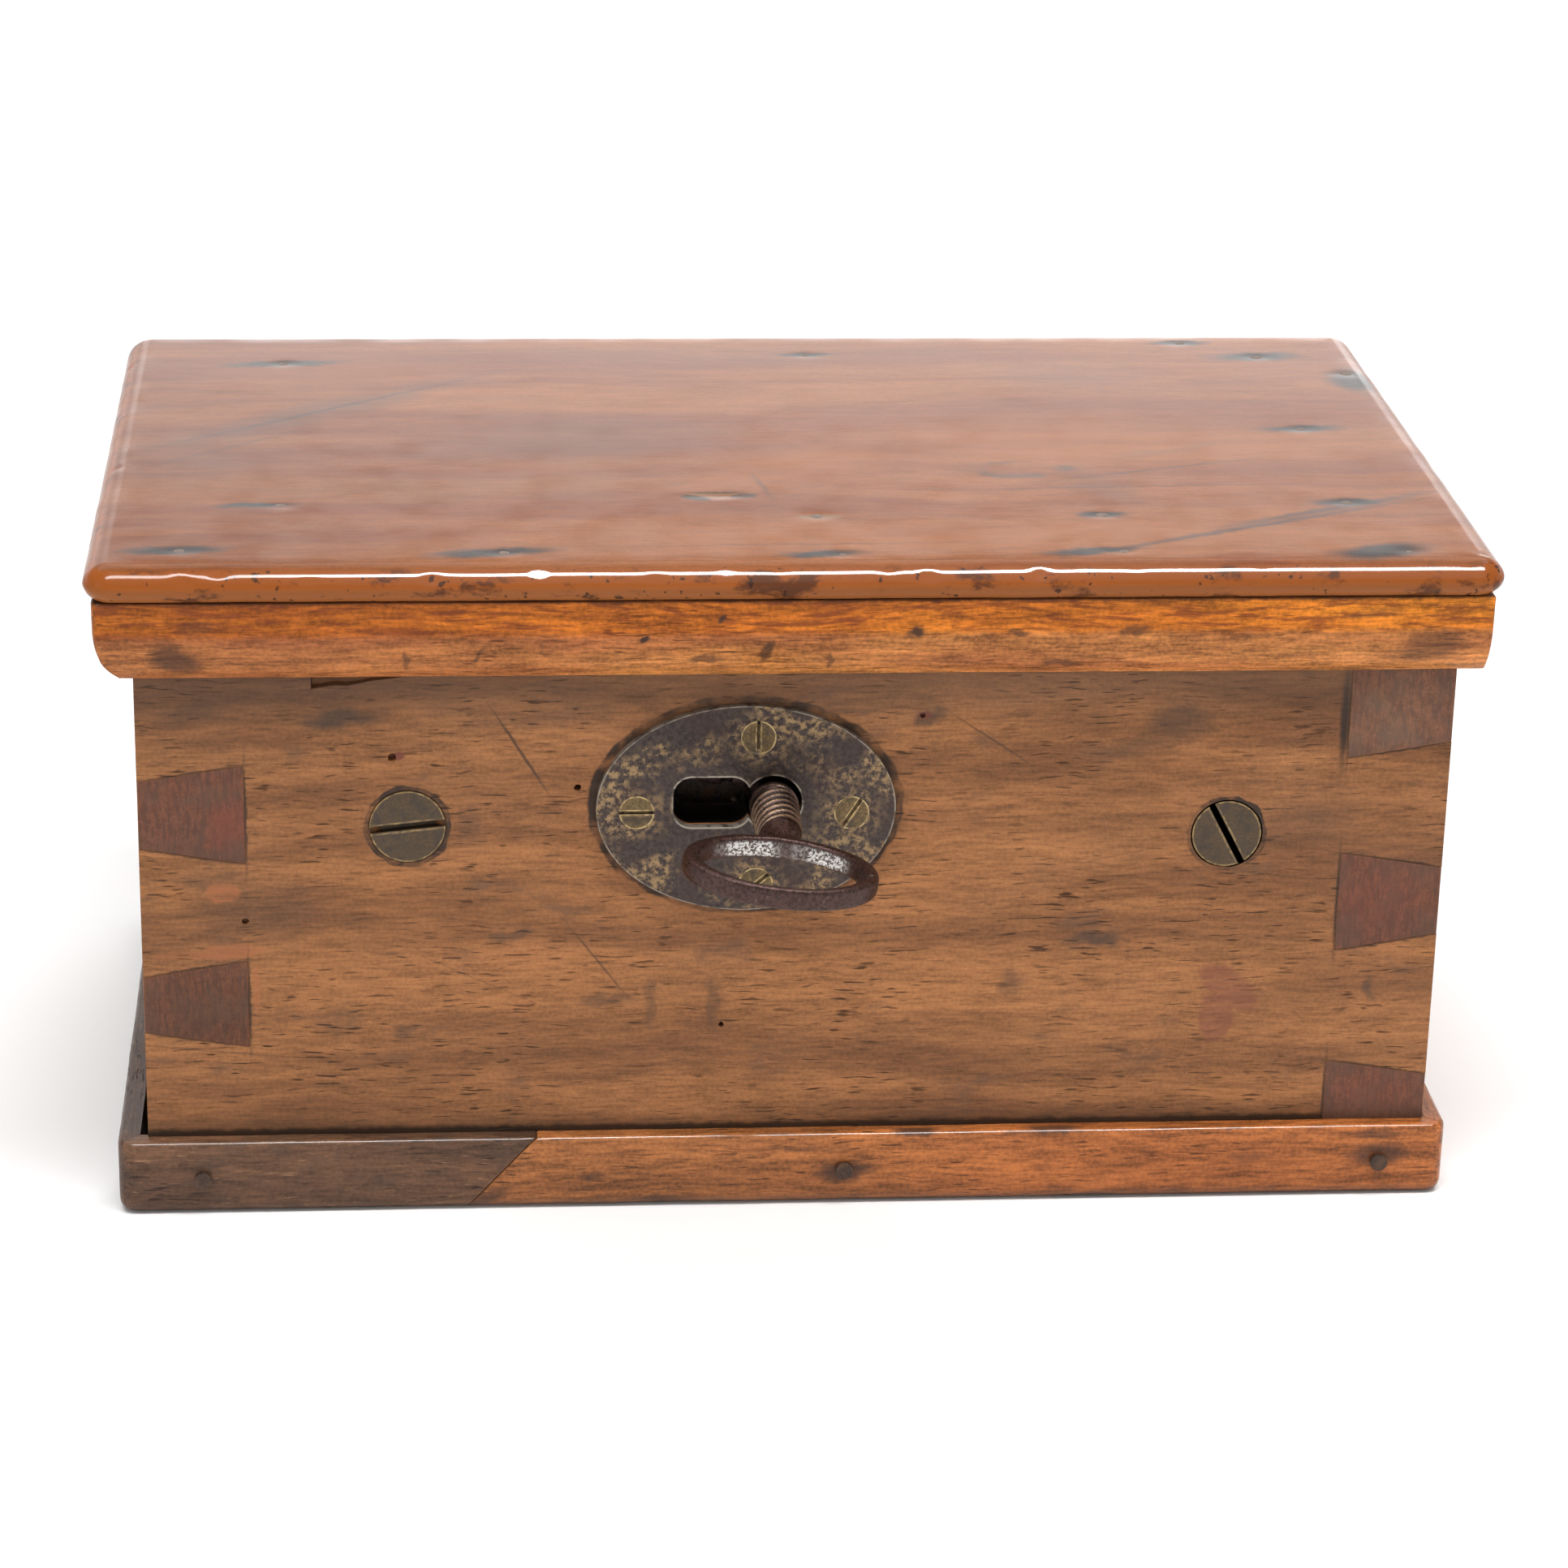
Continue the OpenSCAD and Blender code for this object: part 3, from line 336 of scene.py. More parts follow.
def side_wood():
    w = Wood("side_wood_tan", "y", (0.28, 0.11, 0.036), (0.17, 0.068, 0.024), (0.15, 0.056, 0.031), 0.7,
             seed=31.0)
    upright = w.vector("MULTIPLY", w.shaken(w.at, 12.0, 2.0), (1.0, 1.0, 0.14))
    lines = w.span(w.noise(upright, 0.7, 3.0, 0.65), 0.44, 0.6, 0.0, 0.6)
    w.stain(w.times(lines, w.end), (0.07, 0.035, 0.025))
    patchy = w.span(w.noise(w.at, 6.5, 3.0, 0.6), 0.42, 0.64, 0.0, 0.5)
    w.stain(w.times(patchy, w.end), (0.1, 0.055, 0.036))
    in_front = w.along("Y", FRONT_Y + 1.5, FRONT_Y + 0.5)
    warm = w.marks((4.0, 3.0), "xz", [
        (-108, 80, 3.6, 5.0, -30, 0.4), (113, 62, 8, 7, 0, 0.2), (115, 21, 7, 4, 0, 0.2)], 0.6)
    w.stain(w.times(warm, in_front), (0.19, 0.05, 0.032))
    grey = w.marks((4.0, 3.0), "xz", [
        (114, 101, 12, 9, 20, 0.55)], 0.7)
    w.stain(w.times(grey, in_front), (1.8, 2.3, 2.3), "MULTIPLY")
    low_left = w.marks((4.0, 3.0), "xz", [(-114, 43, 12, 10, 0, 0.7)], 0.5)
    w.stain(w.times(low_left, in_front), (0.78, 0.8, 0.72), "MULTIPLY")
    foot = w.along("Z", 21.0, 14.5, 0.0, 0.6, shake=(4.0, 3.0, 3.0))
    w.stain(foot, (0.07, 0.04, 0.026))
    return w.done((0.42, 0.58), 0.07, Specular_IOR_Level=0.22)


def lid_wood():
    w = Wood("lid_wood_polished", "x", (0.222, 0.075, 0.024), (0.17, 0.05, 0.018), (0.13, 0.034, 0.01), 0.08,
             seed=57.0, contrast=0.5)
    loose = w.shaken(w.at, 8.0, 6.0, 4.0)
    on_top = w.along("Z", LID_TOP - 1.2, LID_TOP - 0.4)
    smoke = w.marks((16.0, 12.0, 3.0), "xy", [
        (-98, 16, 42, 5, 38, 0.5), (-42, 2, 26, 14, 10, 0.45), (-60, -30, 34, 8, 4, 0.25),
        (64, 46, 15, 8, 0, 0.3), (62, -31, 5, 12, 10, 0.3), (78, -8, 14, 2, 20, 0.35),
        (-115, -10, 12, 16, 0, 0.3), (-20, 62, 60, 6, 0, 0.2)], 0.7)
    w.stain(w.times(smoke, on_top), (0.105, 0.058, 0.045))
    w.stain(w.along("X", -55.0, -105.0, 0.0, 0.5, shake=(30.0, 30.0)), (0.72, 0.66, 0.6), "MULTIPLY")
    golden = w.marks((16.0, 12.0, 3.0), "xy", [
        (4, -14, 18, 8, 20, 0.45), (60, 0, 40, 14, 0, 0.35), (40, -62, 60, 6, 0, 0.3),
        (-90, 50, 22, 9, 8, 0.25)], 0.8)
    w.stain(w.times(golden, on_top), (0.3, 0.105, 0.03))
    streaks = w.marks((3.5, 2.0, 3.0), "xy", [
        (-92, 21, 34, 0.7, 38, 0.6), (-110, -4, 22, 0.5, 40, 0.4), (86, -57, 34, 1.0, 25, 0.75),
        (104, -46, 22, 1.3, 26, 0.75), (70, -31, 34, 0.4, 3, 0.45), (74, -20, 20, 0.5, 18, 0.5),
        (-4, -66, 30, 0.35, 1, 0.4), (-5, -30, 0.7, 7, 10, 0.4)], 0.7)
    w.stain(w.times(streaks, on_top), (0.06, 0.04, 0.036))
    halos = w.marks((4.0, 3.0, 3.0), "xy", [
        (x + dx, y + 0.3, a, b, turn, 0.95) for x, y, dx, a, b, turn in NAIL_HALOS], 0.55)
    w.stain(w.times(halos, on_top), (0.036, 0.034, 0.033))
    patches = w.marks((2.0, 0.8), "xy", [
        (4.5, -49.3, 4.4, 1.7, 2, 0.9), (-14.5, -35.6, 5.6, 2.2, 0, 0.7)], 0.25)
    w.stain(w.times(patches, on_top), (0.2, 0.105, 0.055))
    flaw = w.marks((1.6, 0.8), "xy", [
        (-18.5, -37.2, 3.0, 1.4, -28, 0.95), (-9.0, -36.2, 2.6, 1.3, 10, 0.9),
        (-14, -34.1, 5.5, 0.4, 0, 0.9)], 0.35)
    w.stain(w.times(flaw, on_top), (0.045, 0.026, 0.018))
    ring = w.vector("LENGTH", w.add("ShaderNodeMapping", {
        "Vector": w.shaken(w.at, 4.0, 1.6, 3.0), "Location": (46.5, -19.7, 0), "Scale": (11, 5.2, 1e4)},
        vector_type="TEXTURE"), out=1)
    band = w.times(w.span(ring, 0.4, 0.85), w.span(ring, 1.2, 0.9))
    band = w.times(band, w.span(w.noise(w.at, 7.0, 3.0), 0.42, 0.62, 0.1, 0.6))
    w.stain(w.times(band, on_top), (0.05, 0.045, 0.042))
    upward = w.facing("Z")
    along_edge = w.times(w.math("SUBTRACT", 1.0, on_top), w.span(upward, -0.97, -0.85))
    w.stain(w.times(along_edge, 0.85), (0.265, 0.068, 0.0105))
    # Painted reflection: the nosing's lower half tinted paler and greyer for the white floor mirrored in it
    w.stain(w.times(w.along("Z", 130.2, 128.2), along_edge), (1.1, 1.4, 2.3), "MULTIPLY")
    w.stain(w.span(upward, -0.85, -0.97), (0.95, 1.5, 2.3), "MULTIPLY")
    nicks = w.span(w.noise(w.vector("MULTIPLY", loose, (0.5, 1, 1)), 6.0, 4.0, 0.6), 0.54, 0.64, 0.0, 0.8)
    w.stain(w.times(nicks, along_edge), (0.06, 0.022, 0.011))
    pocks = w.span(w.noise(w.at, 1.9, 2.0, 0.5), 0.65, 0.71, 0.0, 0.85)
    w.stain(w.times(pocks, along_edge), (0.03, 0.015, 0.01))
    w.polish_edges(w.along("X", -122.0, -62.0, 0.3, 1.0))
    return w.done((0.16, 0.24), 0.01, Specular_IOR_Level=0.1, Coat_Roughness=0.05, Coat_IOR=1.8)


def rail_wood(name, grain, seed):
    w = Wood(name, grain, (0.65, 0.205, 0.018), (0.45, 0.122, 0.0128), (0.2, 0.065, 0.018), 0.9, seed=seed,
             contrast=1.6)
    z = w.split(w.shaken(w.at, 5.0, 1.2, 3.0), "Z")
    upward = w.facing("Z")
    under = w.span(upward, -0.95, -0.99)
    lower = w.times(w.span(z, 120.6, 118.6, 0.0, 0.62), w.math("SUBTRACT", 1.0, w.end))
    lower = w.times(lower, w.math("SUBTRACT", 1.0, under))
    w.stain(lower, (0.7, 1.0, 4.3), "MULTIPLY")
    red_streaks = w.span(w.noise(w.flow, 1.1, 4.0, 0.65), 0.47, 0.62, 0.0, 0.7)
    w.stain(w.along("X", -30.0, -110.0, 0.0, 0.8, shake=(20.0, 30.0)), (0.6, 0.54, 0.64), "MULTIPLY")
    w.stain(w.times(red_streaks, w.span(z, 118.6, 121.0, 0.25, 1.0)), (0.16, 0.035, 0.012))
    facing = w.along("Y", RAIL_FACE + 6.0, RAIL_FACE + 4.0)
    dark = w.marks((3.0, 3.0, 4.0), "xz", [
        (-117, 114.6, 4.6, 3.0, -30, 0.75), (-113, 121.5, 3.0, 1.6, 0, 0.35),
        (118.5, 116.0, 6.5, 3.2, 10, 0.6), (20.7, 119.9, 1.6, 1.2, 0, 0.95),
        (-7.3, 116.0, 1.1, 2.4, -20, 0.75), (39.7, 119.6, 2.0, 0.7, 0, 0.7),
        (61.9, 120.0, 3.0, 1.1, 10, 0.65), (-18.6, 114.2, 2.8, 0.8, 0, 0.6),
        (-30, 118.6, 0.9, 0.7, 0, 1.0), (-15.8, 122.4, 0.8, 0.7, 0, 0.9),
        (-74.4, 114.2, 0.5, 2.2, 0, 0.6), (-60.8, 115.6, 0.5, 1.8, -25, 0.6),
        (48, 113.0, 3.4, 0.8, 5, 0.6), (4.6, 113.5, 0.4, 2.0, 0, 0.6), (107, 123.0, 5, 1.0, 4, 0.4)], 0.45)
    w.stain(w.times(dark, facing), (0.052, 0.026, 0.017))
    seam = w.along("Z", 125.4, 126.3, 0.0, 0.85, shake=(2.0, 0.9, 3.0))
    w.stain(seam, (0.05, 0.02, 0.01))
    w.stain(under, (0.5, 0.78, 3.0), "MULTIPLY")
    return w.done((0.26, 0.4), 0.04, Specular_IOR_Level=0.15)


def plinth_wood(name, grain, seed):
    w = Wood(name, grain, (0.31, 0.112, 0.034), (0.205, 0.073, 0.023), (0.11, 0.036, 0.014), 0.9, seed=seed,
             contrast=1.5)
    redder = w.along("X", -20.0, 60.0, 0.0, 0.45, shake=(25.0, 22.0))
    w.stain(redder, (1.75, 1.35, 0.95), "MULTIPLY")
    knots = w.marks((3.0, 2.6, 4.0), "xz", [
        (10, 6.9, 5.2, 2.0, 6, 0.85), (24, 15.2, 4.5, 0.8, 0, 0.85), (51, 15.2, 5, 0.7, 0, 0.8),
        (116, 8.8, 5.0, 2.4, 0, 0.7), (90, 8.6, 3.4, 1.2, 0, 0.45), (-39, 6.9, 2.2, 1.0, 0, 0.6),
        (-25, 1.6, 5, 1.0, 0, 0.6), (60, 0.6, 6, 1.0, 0, 0.6), (116, 13.6, 5.0, 0.9, 0, 0.6),
        (-60, 2.4, 5, 1.4, 20, 0.7), (3.5, 12, 9, 0.5, 0, 0.4)], 0.5)
    facing = w.along("Y", PLINTH_FACE + 4.0, PLINTH_FACE + 3.0)
    w.stain(w.times(knots, facing), (0.05, 0.025, 0.017))
    foot = w.along("Z", 3.2, 0.2, 0.0, 0.6, shake=(5.0, 2.2, 3.0))
    w.stain(foot, (0.06, 0.032, 0.02))
    w.polish_edges(0.8)
    return w.done((0.26, 0.42), 0.05, Specular_IOR_Level=0.25, Coat_Roughness=0.08, Coat_IOR=1.7)


def patch_wood(name, grain, seed):
    w = Wood(name, grain, (0.125, 0.06, 0.031), (0.072, 0.035, 0.02), (0.06, 0.028, 0.015), 0.9, seed=seed,
             contrast=1.3)
    glints = w.span(w.noise(w.fine, 0.5, 2.0, 0.6), 0.62, 0.74, 0.0, 0.5)
    w.stain(glints, (0.4, 0.23, 0.12))
    grime = w.span(w.noise(w.at, 10.0, 4.0, 0.6), 0.5, 0.68, 0.0, 0.6)
    w.stain(grime, (0.06, 0.038, 0.028))
    w.polish_edges(0.6)
    return w.done((0.32, 0.48), 0.07, Specular_IOR_Level=0.25, Coat_Roughness=0.1, Coat_IOR=1.7)


def plain_wood(name, grain, seed):
    w = Wood(name, grain, (0.36, 0.215, 0.11), (0.25, 0.14, 0.07), (0.17, 0.09, 0.05), 0.6, seed=seed)
    dust = w.span(w.noise(w.at, 14.0, 4.0, 0.6), 0.45, 0.7, 0.0, 0.45)
    w.stain(dust, (0.14, 0.09, 0.06))
    return w.done((0.6, 0.8), 0.12)


# ---------------------------------------------------------------- metal finishes

def metal(name, base, tint, patina, rough, patina_share=(0.45, 0.65), grain_mm=2.4, metallic=0.85,
          depth_mm=0.05):
    """Old metal: base and tint mixed at random, patina in blotches, and fine pits."""
    n = Nodes(name)
    fine = n.noise(n.at, grain_mm * 0.3, 4.0, 0.65)
    broad = n.noise(n.shaken(n.at, grain_mm * 2, grain_mm * 1.5, 3.0), grain_mm * 1.6, 4.0, 0.6)
    colour = n.mix(n.span(fine, 0.35, 0.65), base, tint)
    blotch = n.span(broad, *patina_share)
    n.blotch = blotch
    colour = n.mix(n.times(blotch, 0.8), colour, patina)
    pits = n.span(n.noise(n.at, grain_mm * 0.22, 3.0, 0.7), 0.3, 0.7)
    n.bump(pits, depth_mm)
    n.feed(n.shader.inputs["Metallic"], n.span(blotch, 0.0, 1.0, metallic, metallic * 0.45))
    gloss = n.math("ADD", n.span(fine, 0.3, 0.7, rough[0], rough[1]), n.times(blotch, 0.15))
    n.colour, n.gloss = colour, gloss
    return n


def escutcheon_iron():
    n = metal("escutcheon_iron", (0.032, 0.023, 0.021), (0.066, 0.046, 0.04), (0.12, 0.08, 0.05),
              (0.32, 0.46), (0.62, 0.74), 3.2, 0.6)
    x, z, a, b = ESCUTCHEON
    out = n.out_from(n.at, x, z, a, b)
    where = n.span(n.noise(n.vector("ADD", n.at, (40, 0, 12)), 9.0, 3.0, 0.55), 0.45, 0.6)
    near_rim = n.span(out, 0.35, 0.85, 0.3, 1.0)
    round_screws = n.marks((3.0, 3.0, 3.0), "xz", [(u, v, 5.6, 5.0, 0, 0.9) for u, v in SMALL_SCREWS])
    where = n.math("MAXIMUM", n.times(where, near_rim), round_screws)
    rust = n.times(where, n.span(n.noise(n.at, 1.3, 5.0, 0.75), 0.45, 0.6))
    colour = n.mix(rust, n.colour, (0.29, 0.185, 0.09))
    redder = n.span(n.noise(n.at, 8.0, 3.0, 0.6), 0.5, 0.65, 0.0, 0.45)
    colour = n.mix(redder, colour, (0.05, 0.027, 0.023))
    u, v, half_u, half_v, corner = KEYHOLE_SLOT
    local = n.vector("ABSOLUTE", n.vector("SUBTRACT", n.at, (u, 0, v)))
    past = n.vector("SUBTRACT", local, (half_u - corner, 1e3, half_v - corner))
    past = n.vector("MAXIMUM", past, (0, 0, 0))
    to_slot = n.math("SUBTRACT", n.vector("LENGTH", past, out=1), corner)
    u, v, radius = KEYHOLE_ROUND
    to_round = n.times(n.math("SUBTRACT", n.out_from(n.at, u, v, radius, radius), 1.0), radius)
    lip = n.span(n.math("MINIMUM", to_slot, to_round), 0.2, 0.45, 0.75, 0.0)
    # The plate's outer rim: rubbed metal, with a painted highlight along it
    edge = n.span(out, 0.988, 0.994, 0.0, 0.5)
    worn = n.times(n.math("MAXIMUM", lip, edge), n.span(n.noise(n.at, 2.2, 3.0), 0.36, 0.56, 0.1, 1.0))
    colour = n.mix(worn, colour, (0.42, 0.36, 0.29))
    return n.finish(colour, n.gloss)


def screw_brass(name, base, tint, patina, screws, rim, worn, metallic):
    """Brass screws whose rims and slot edges are rubbed bright: X, Z, radius and slot angle of each."""
    n = metal(name, base, tint, patina, (0.28, 0.42), grain_mm=1.6, metallic=metallic)
    rims = [n.ring(n.shaken(n.at, 1.5, 0.3), x, z, r, r, rim) for x, z, r, _ in screws]
    slots = []
    for x, z, r, turn in screws:
        away = Vector((-math.sin(math.radians(turn)), math.cos(math.radians(turn)))) * r * 0.13
        for side, width in ((1, 0.16), (-1, 0.2)):
            slots.append((x + side * away.x, z + side * away.y, r * 0.96, width, turn, 0.9))
    lines = n.marks((1.5, 0.3), "xz", slots, 0.5)
    patchy = n.span(n.noise(n.at, 1.2, 3.0), 0.35, 0.6, 0.15, 1.0)
    rubbed = n.times(n.strongest(rims + [lines]), patchy)
    return n.finish(n.mix(rubbed, n.colour, worn), n.gloss)


def key_iron():
    n = metal("key_iron_worn", (0.042, 0.024, 0.021), (0.085, 0.047, 0.04), (0.15, 0.16, 0.175), (0.24, 0.4),
              (0.64, 0.74), 2.6, 0.8, 0.04)
    bright = n.span(n.noise(n.at, 0.9, 4.0, 0.75), 0.6, 0.74, 0.0, 0.45)
    colour = n.mix(bright, n.colour, (0.3, 0.24, 0.21))
    y = n.split(n.at, "Y")
    ring_from, ring_to = NECK_RINGS
    from_axis = n.out_from(n.at, KEY_X, KEY_Z, 1.0, 1.0)
    level = n.math("SUBTRACT", from_axis, n.span(y, ring_from, ring_to, *NECK_R))
    on_rings = n.times(n.span(y, ring_from - 0.8, ring_from), n.span(y, ring_to + 1.0, ring_to))
    # The ring crests: rubbed bare metal with a painted highlight on them
    crest_wear_and_highlight = n.times(on_rings, n.span(level, 0.0, 0.2, 0.0, 0.75))
    colour = n.mix(crest_wear_and_highlight, colour, (0.34, 0.235, 0.15))
    # Painted shade: the grooves between the rings made nearly black
    groove_shade = n.times(on_rings, n.span(level, 0.0, -0.16, 0.0, 0.92))
    colour = n.mix(groove_shade, colour, (0.008, 0.005, 0.004))
    facing = n.facing("Y")
    mid_y, back_y = FRONT_Y - BOW_GAP - BOW_L / 2, FRONT_Y - BOW_GAP - 0.5
    inner = n.times(n.span(y, mid_y, mid_y + 3.0), n.span(y, back_y + 0.5, back_y))
    inner = n.times(inner, n.span(facing, -0.5, -0.75))
    speckle = n.span(n.noise(n.at, 0.55, 3.0, 0.7), 0.43, 0.57, 0.05, 1.0)
    gaps = n.span(n.noise(n.vector("MULTIPLY", n.at, (1.0, 1.0, 0.2)), 5.0, 2.0), 0.36, 0.5, 0.3, 1.0)
    middle = n.math("ABSOLUTE", n.math("SUBTRACT", n.split(n.shaken(n.at, 3.0, 2.0), "X"), -4.5))
    gaps = n.times(gaps, n.times(n.span(middle, 0.6, 1.8, 0.2, 1.0), n.span(middle, 14.0, 11.5)))
    lean = n.times(n.math("SUBTRACT", n.split(n.at, "X"), KEY_X), math.tan(math.radians(KEY_TILT)))
    above = n.math("ADD", n.math("SUBTRACT", n.split(n.at, "Z"), KEY_Z), lean)
    gaps = n.times(gaps, n.span(above, 1.5, 0.9))
    silver = n.times(inner, speckle, gaps)
    colour = n.mix(silver, colour, (0.66, 0.64, 0.6))
    return n.finish(colour, n.gloss)


def plain_metal(name, base, tint, patina, rough, **more):
    n = metal(name, base, tint, patina, rough, **more)
    return n.finish(n.colour, n.gloss)


def floor_white():
    n = Nodes("studio_floor")
    tone = n.span(n.noise(n.at, 400.0, 2.0), 0.3, 0.7, 0.86, 0.9)
    return n.finish(n.vector("SCALE", (1.0, 1.0, 1.0), scale=tone), 0.75)


MATERIALS = {
    "body_wood": body_wood(),
    "side_wood": side_wood(),
    "lid_wood": lid_wood(),
    "rail_wood": rail_wood("rail_wood_front", "x", 12.0),
    "rail_wood_side": rail_wood("rail_wood_side", "y", 44.0),
    "plinth_wood": plinth_wood("plinth_wood_front", "x", 5.0),
    "plinth_wood_side": plinth_wood("plinth_wood_side", "y", 23.0),
    "patch_wood": patch_wood("patch_wood_front", "x", 71.0),
    "patch_wood_side": patch_wood("patch_wood_side", "y", 83.0),
    "plain_wood": plain_wood("plain_wood", "x", 90.0),
    "dark_iron": plain_metal("lock_iron", (0.1, 0.08, 0.07), (0.18, 0.14, 0.12), (0.2, 0.1, 0.05),
                             (0.35, 0.5)),
    "escutcheon": escutcheon_iron(),
    "key_iron": key_iron(),
    "nail_iron": plain_metal("nail_iron", (0.1, 0.05, 0.035), (0.25, 0.15, 0.11), (0.16, 0.06, 0.03),
                             (0.35, 0.5), grain_mm=1.2, metallic=0.5),
    "lid_nail_iron": plain_metal("lid_nail_iron", (0.07, 0.04, 0.027), (0.15, 0.095, 0.065), (0.2, 0.14, 0.1),
                                 (0.45, 0.6), grain_mm=1.2, metallic=0.25),
    "plinth_iron": plain_metal("plinth_nail_iron", (0.03, 0.018, 0.012), (0.07, 0.04, 0.026),
                               (0.1, 0.045, 0.02), (0.4, 0.55), grain_mm=1.2, metallic=0.4),
    "big_screws": screw_brass("front_screw_bronze", (0.066, 0.043, 0.025), (0.1, 0.067, 0.039),
                              (0.04, 0.026, 0.017), BIG_SCREWS, 0.3, (0.3, 0.2, 0.085), 0.6),
    "small_screws": screw_brass("plate_screw_brass", (0.1, 0.065, 0.032), (0.19, 0.13, 0.062),
                                (0.045, 0.028, 0.017),
                                [(x, z, 3.4, turn) for (x, z), turn in zip(SMALL_SCREWS, (0, 90, 58, 40))],
                                0.3, (0.5, 0.36, 0.17), 0.8),
    "aged_brass": plain_metal("aged_brass", (0.16, 0.115, 0.06), (0.3, 0.21, 0.1), (0.085, 0.058, 0.034),
                              (0.3, 0.42), grain_mm=1.4),
    "hinge_brass": plain_metal("hinge_brass", (0.3, 0.21, 0.09), (0.42, 0.3, 0.13), (0.13, 0.09, 0.045),
                               (0.3, 0.42), grain_mm=3.0),
    "spring_steel": plain_metal("spring_steel", (0.25, 0.24, 0.24), (0.4, 0.39, 0.38), (0.16, 0.09, 0.06),
                                (0.28, 0.4)),
}


# ---------------------------------------------------------------- pieces

def mesh_object(name, vertices_mm, faces):
    mesh = bpy.data.meshes.new(name)
    mesh.from_pydata([Vector(v) * MM for v in vertices_mm], [], faces)
    made = bpy.data.objects.new(name, mesh)
    bpy.context.scene.collection.objects.link(made)
    return made


def soften(piece, angle=SMOOTH_ANGLE):
    for face in piece.data.polygons:
        face.use_smooth = True
    piece.data.set_sharp_from_angle(angle=angle)


def face_outward(piece):
    """Turns all faces of a closed piece outward."""
    bm = bmesh.new()
    bm.from_mesh(piece.data)
    bmesh.ops.recalc_face_normals(bm, faces=bm.faces)
    bm.to_mesh(piece.data)
    bm.free()
    return piece


def place(piece, body, nodes, slot, material=None, angle=SMOOTH_ANGLE):
    """Gives a finished piece its normals, material and body, and hides the CAD nodes it stands for."""
    face_outward(piece)
    soften(piece, angle)
    piece.data.materials.clear()
    piece.data.materials.append(MATERIALS[material or slot])
    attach(piece, body)
    if nodes:
        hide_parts(*nodes)
    return piece


def cut(piece, cutters):
    """Takes the cutters away from the piece, and removes them."""
    for cutter in cutters:
        step = piece.modifiers.new("cut", "BOOLEAN")
        step.operation, step.solver, step.object = "DIFFERENCE", "EXACT", cutter
    bpy.context.view_layer.update()
    graph = bpy.context.evaluated_depsgraph_get()
    carved = bpy.data.meshes.new_from_object(piece.evaluated_get(graph))
    piece.modifiers.clear()
    piece.data = carved
    for cutter in cutters:
        bpy.data.objects.remove(cutter)


def from_cad(node, body, slot, material=None, edge_mm=0.2, steps=2, cutters=(), angle=28):
    """A copy of a CAD node with its flat faces joined up, cut and with its edges worn round."""
    name = node + "_worn"
    bm = bmesh.new()
    bm.from_mesh(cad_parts[node].data)
    bmesh.ops.remove_doubles(bm, verts=bm.verts, dist=WELD_GAP)
    mesh = bpy.data.meshes.new(name)
    bm.to_mesh(mesh)
    bm.free()
    piece = bpy.data.objects.new(name, mesh)
    bpy.context.scene.collection.objects.link(piece)
    if cutters:
        cut(piece, cutters)
    bm = bmesh.new()
    bm.from_mesh(piece.data)
    bmesh.ops.remove_doubles(bm, verts=bm.verts, dist=WELD_GAP)
    bmesh.ops.dissolve_limit(bm, angle_limit=math.radians(0.4), verts=bm.verts, edges=bm.edges)
    sharp = [e for e in bm.edges if len(e.link_faces) == 2 and e.calc_face_angle(0) > math.radians(angle)]
    bmesh.ops.bevel(bm, geom=sharp, offset=edge_mm * MM, segments=steps, profile=0.5, affect="EDGES",
                    clamp_overlap=True)
    bm.to_mesh(piece.data)
    bm.free()
    return place(piece, body, [node], slot, material)


def wave(point, size, seed):
    """Smooth noise from about -1 to 1 at a point in mm, with features of that size."""
    return noise.noise(Vector(point) / size + Vector((seed, seed * 0.37, -seed)))


def lines_between(low, high, fine, zone, coarse):
    """Places from low to high, close together within a zone at each end."""
    ends = round(zone / fine)
    middle = max(1, round((high - low - 2 * zone) / coarse))
    first = [low + zone * i / ends for i in range(ends)]
    inner = [low + zone + (high - low - 2 * zone) * i / middle for i in range(middle)]
    last = [high - zone + zone * i / ends for i in range(ends + 1)]
    return first + inner + last


def smooth_through(points, steps):
    """Catmull-Rom points through an open list of pairs."""
    made = []
    for i in range(len(points) - 1):
        a, b, c, d = (Vector(points[min(max(i + k, 0), len(points) - 1)]) for k in (-1, 0, 1, 2))
        for s in range(steps):
            t = s / steps
            made.append(0.5 * ((2 * b) + (c - a) * t + (2 * a - 5 * b + 4 * c - d) * t * t
                               + (3 * b - a - 3 * c + d) * t ** 3))
    made.append(Vector(points[-1]))
    return made


NAILS = [(x, y) for x, y, *_ in NAIL_HALOS[:13]] + [(4, -49), (125, 47)]
LID_CORNER = 5.4                                 # radius of the lid's corners, seen from above
LID_FLAT = 4.6                                   # inset at which the lid's top becomes flat
# The nosing, as shares of the board's thickness from its underside and insets from its widest line
NOSING = [(0, 1.8), (0.1, 1.0), (0.25, 0.3), (0.42, 0.0), (0.6, 0.4), (0.76, 1.2), (0.89, 2.3), (0.965, 3.4),
          (1, LID_FLAT)]
LID_DENTS = 46


def lid_dents(low, high):
    """Small dents along the nosing: place, radius and depth."""
    rng = random.Random(11)
    dents = []
    for i in range(LID_DENTS):
        share = rng.random()
        if i % 3:
            spot = (low.x + share * (high.x - low.x), low.y + rng.uniform(0.4, 4.5))
        elif i % 2:
            spot = (low.x + rng.uniform(0.3, 4), low.y + share * (high.y - low.y))
        else:
            spot = (high.x - rng.uniform(0.3, 4), low.y + share * (high.y - low.y))
        dents.append((*spot, high.z - rng.uniform(0.2, 4.5), rng.uniform(0.7, 1.6), rng.uniform(0.12, 0.4)))
    return dents


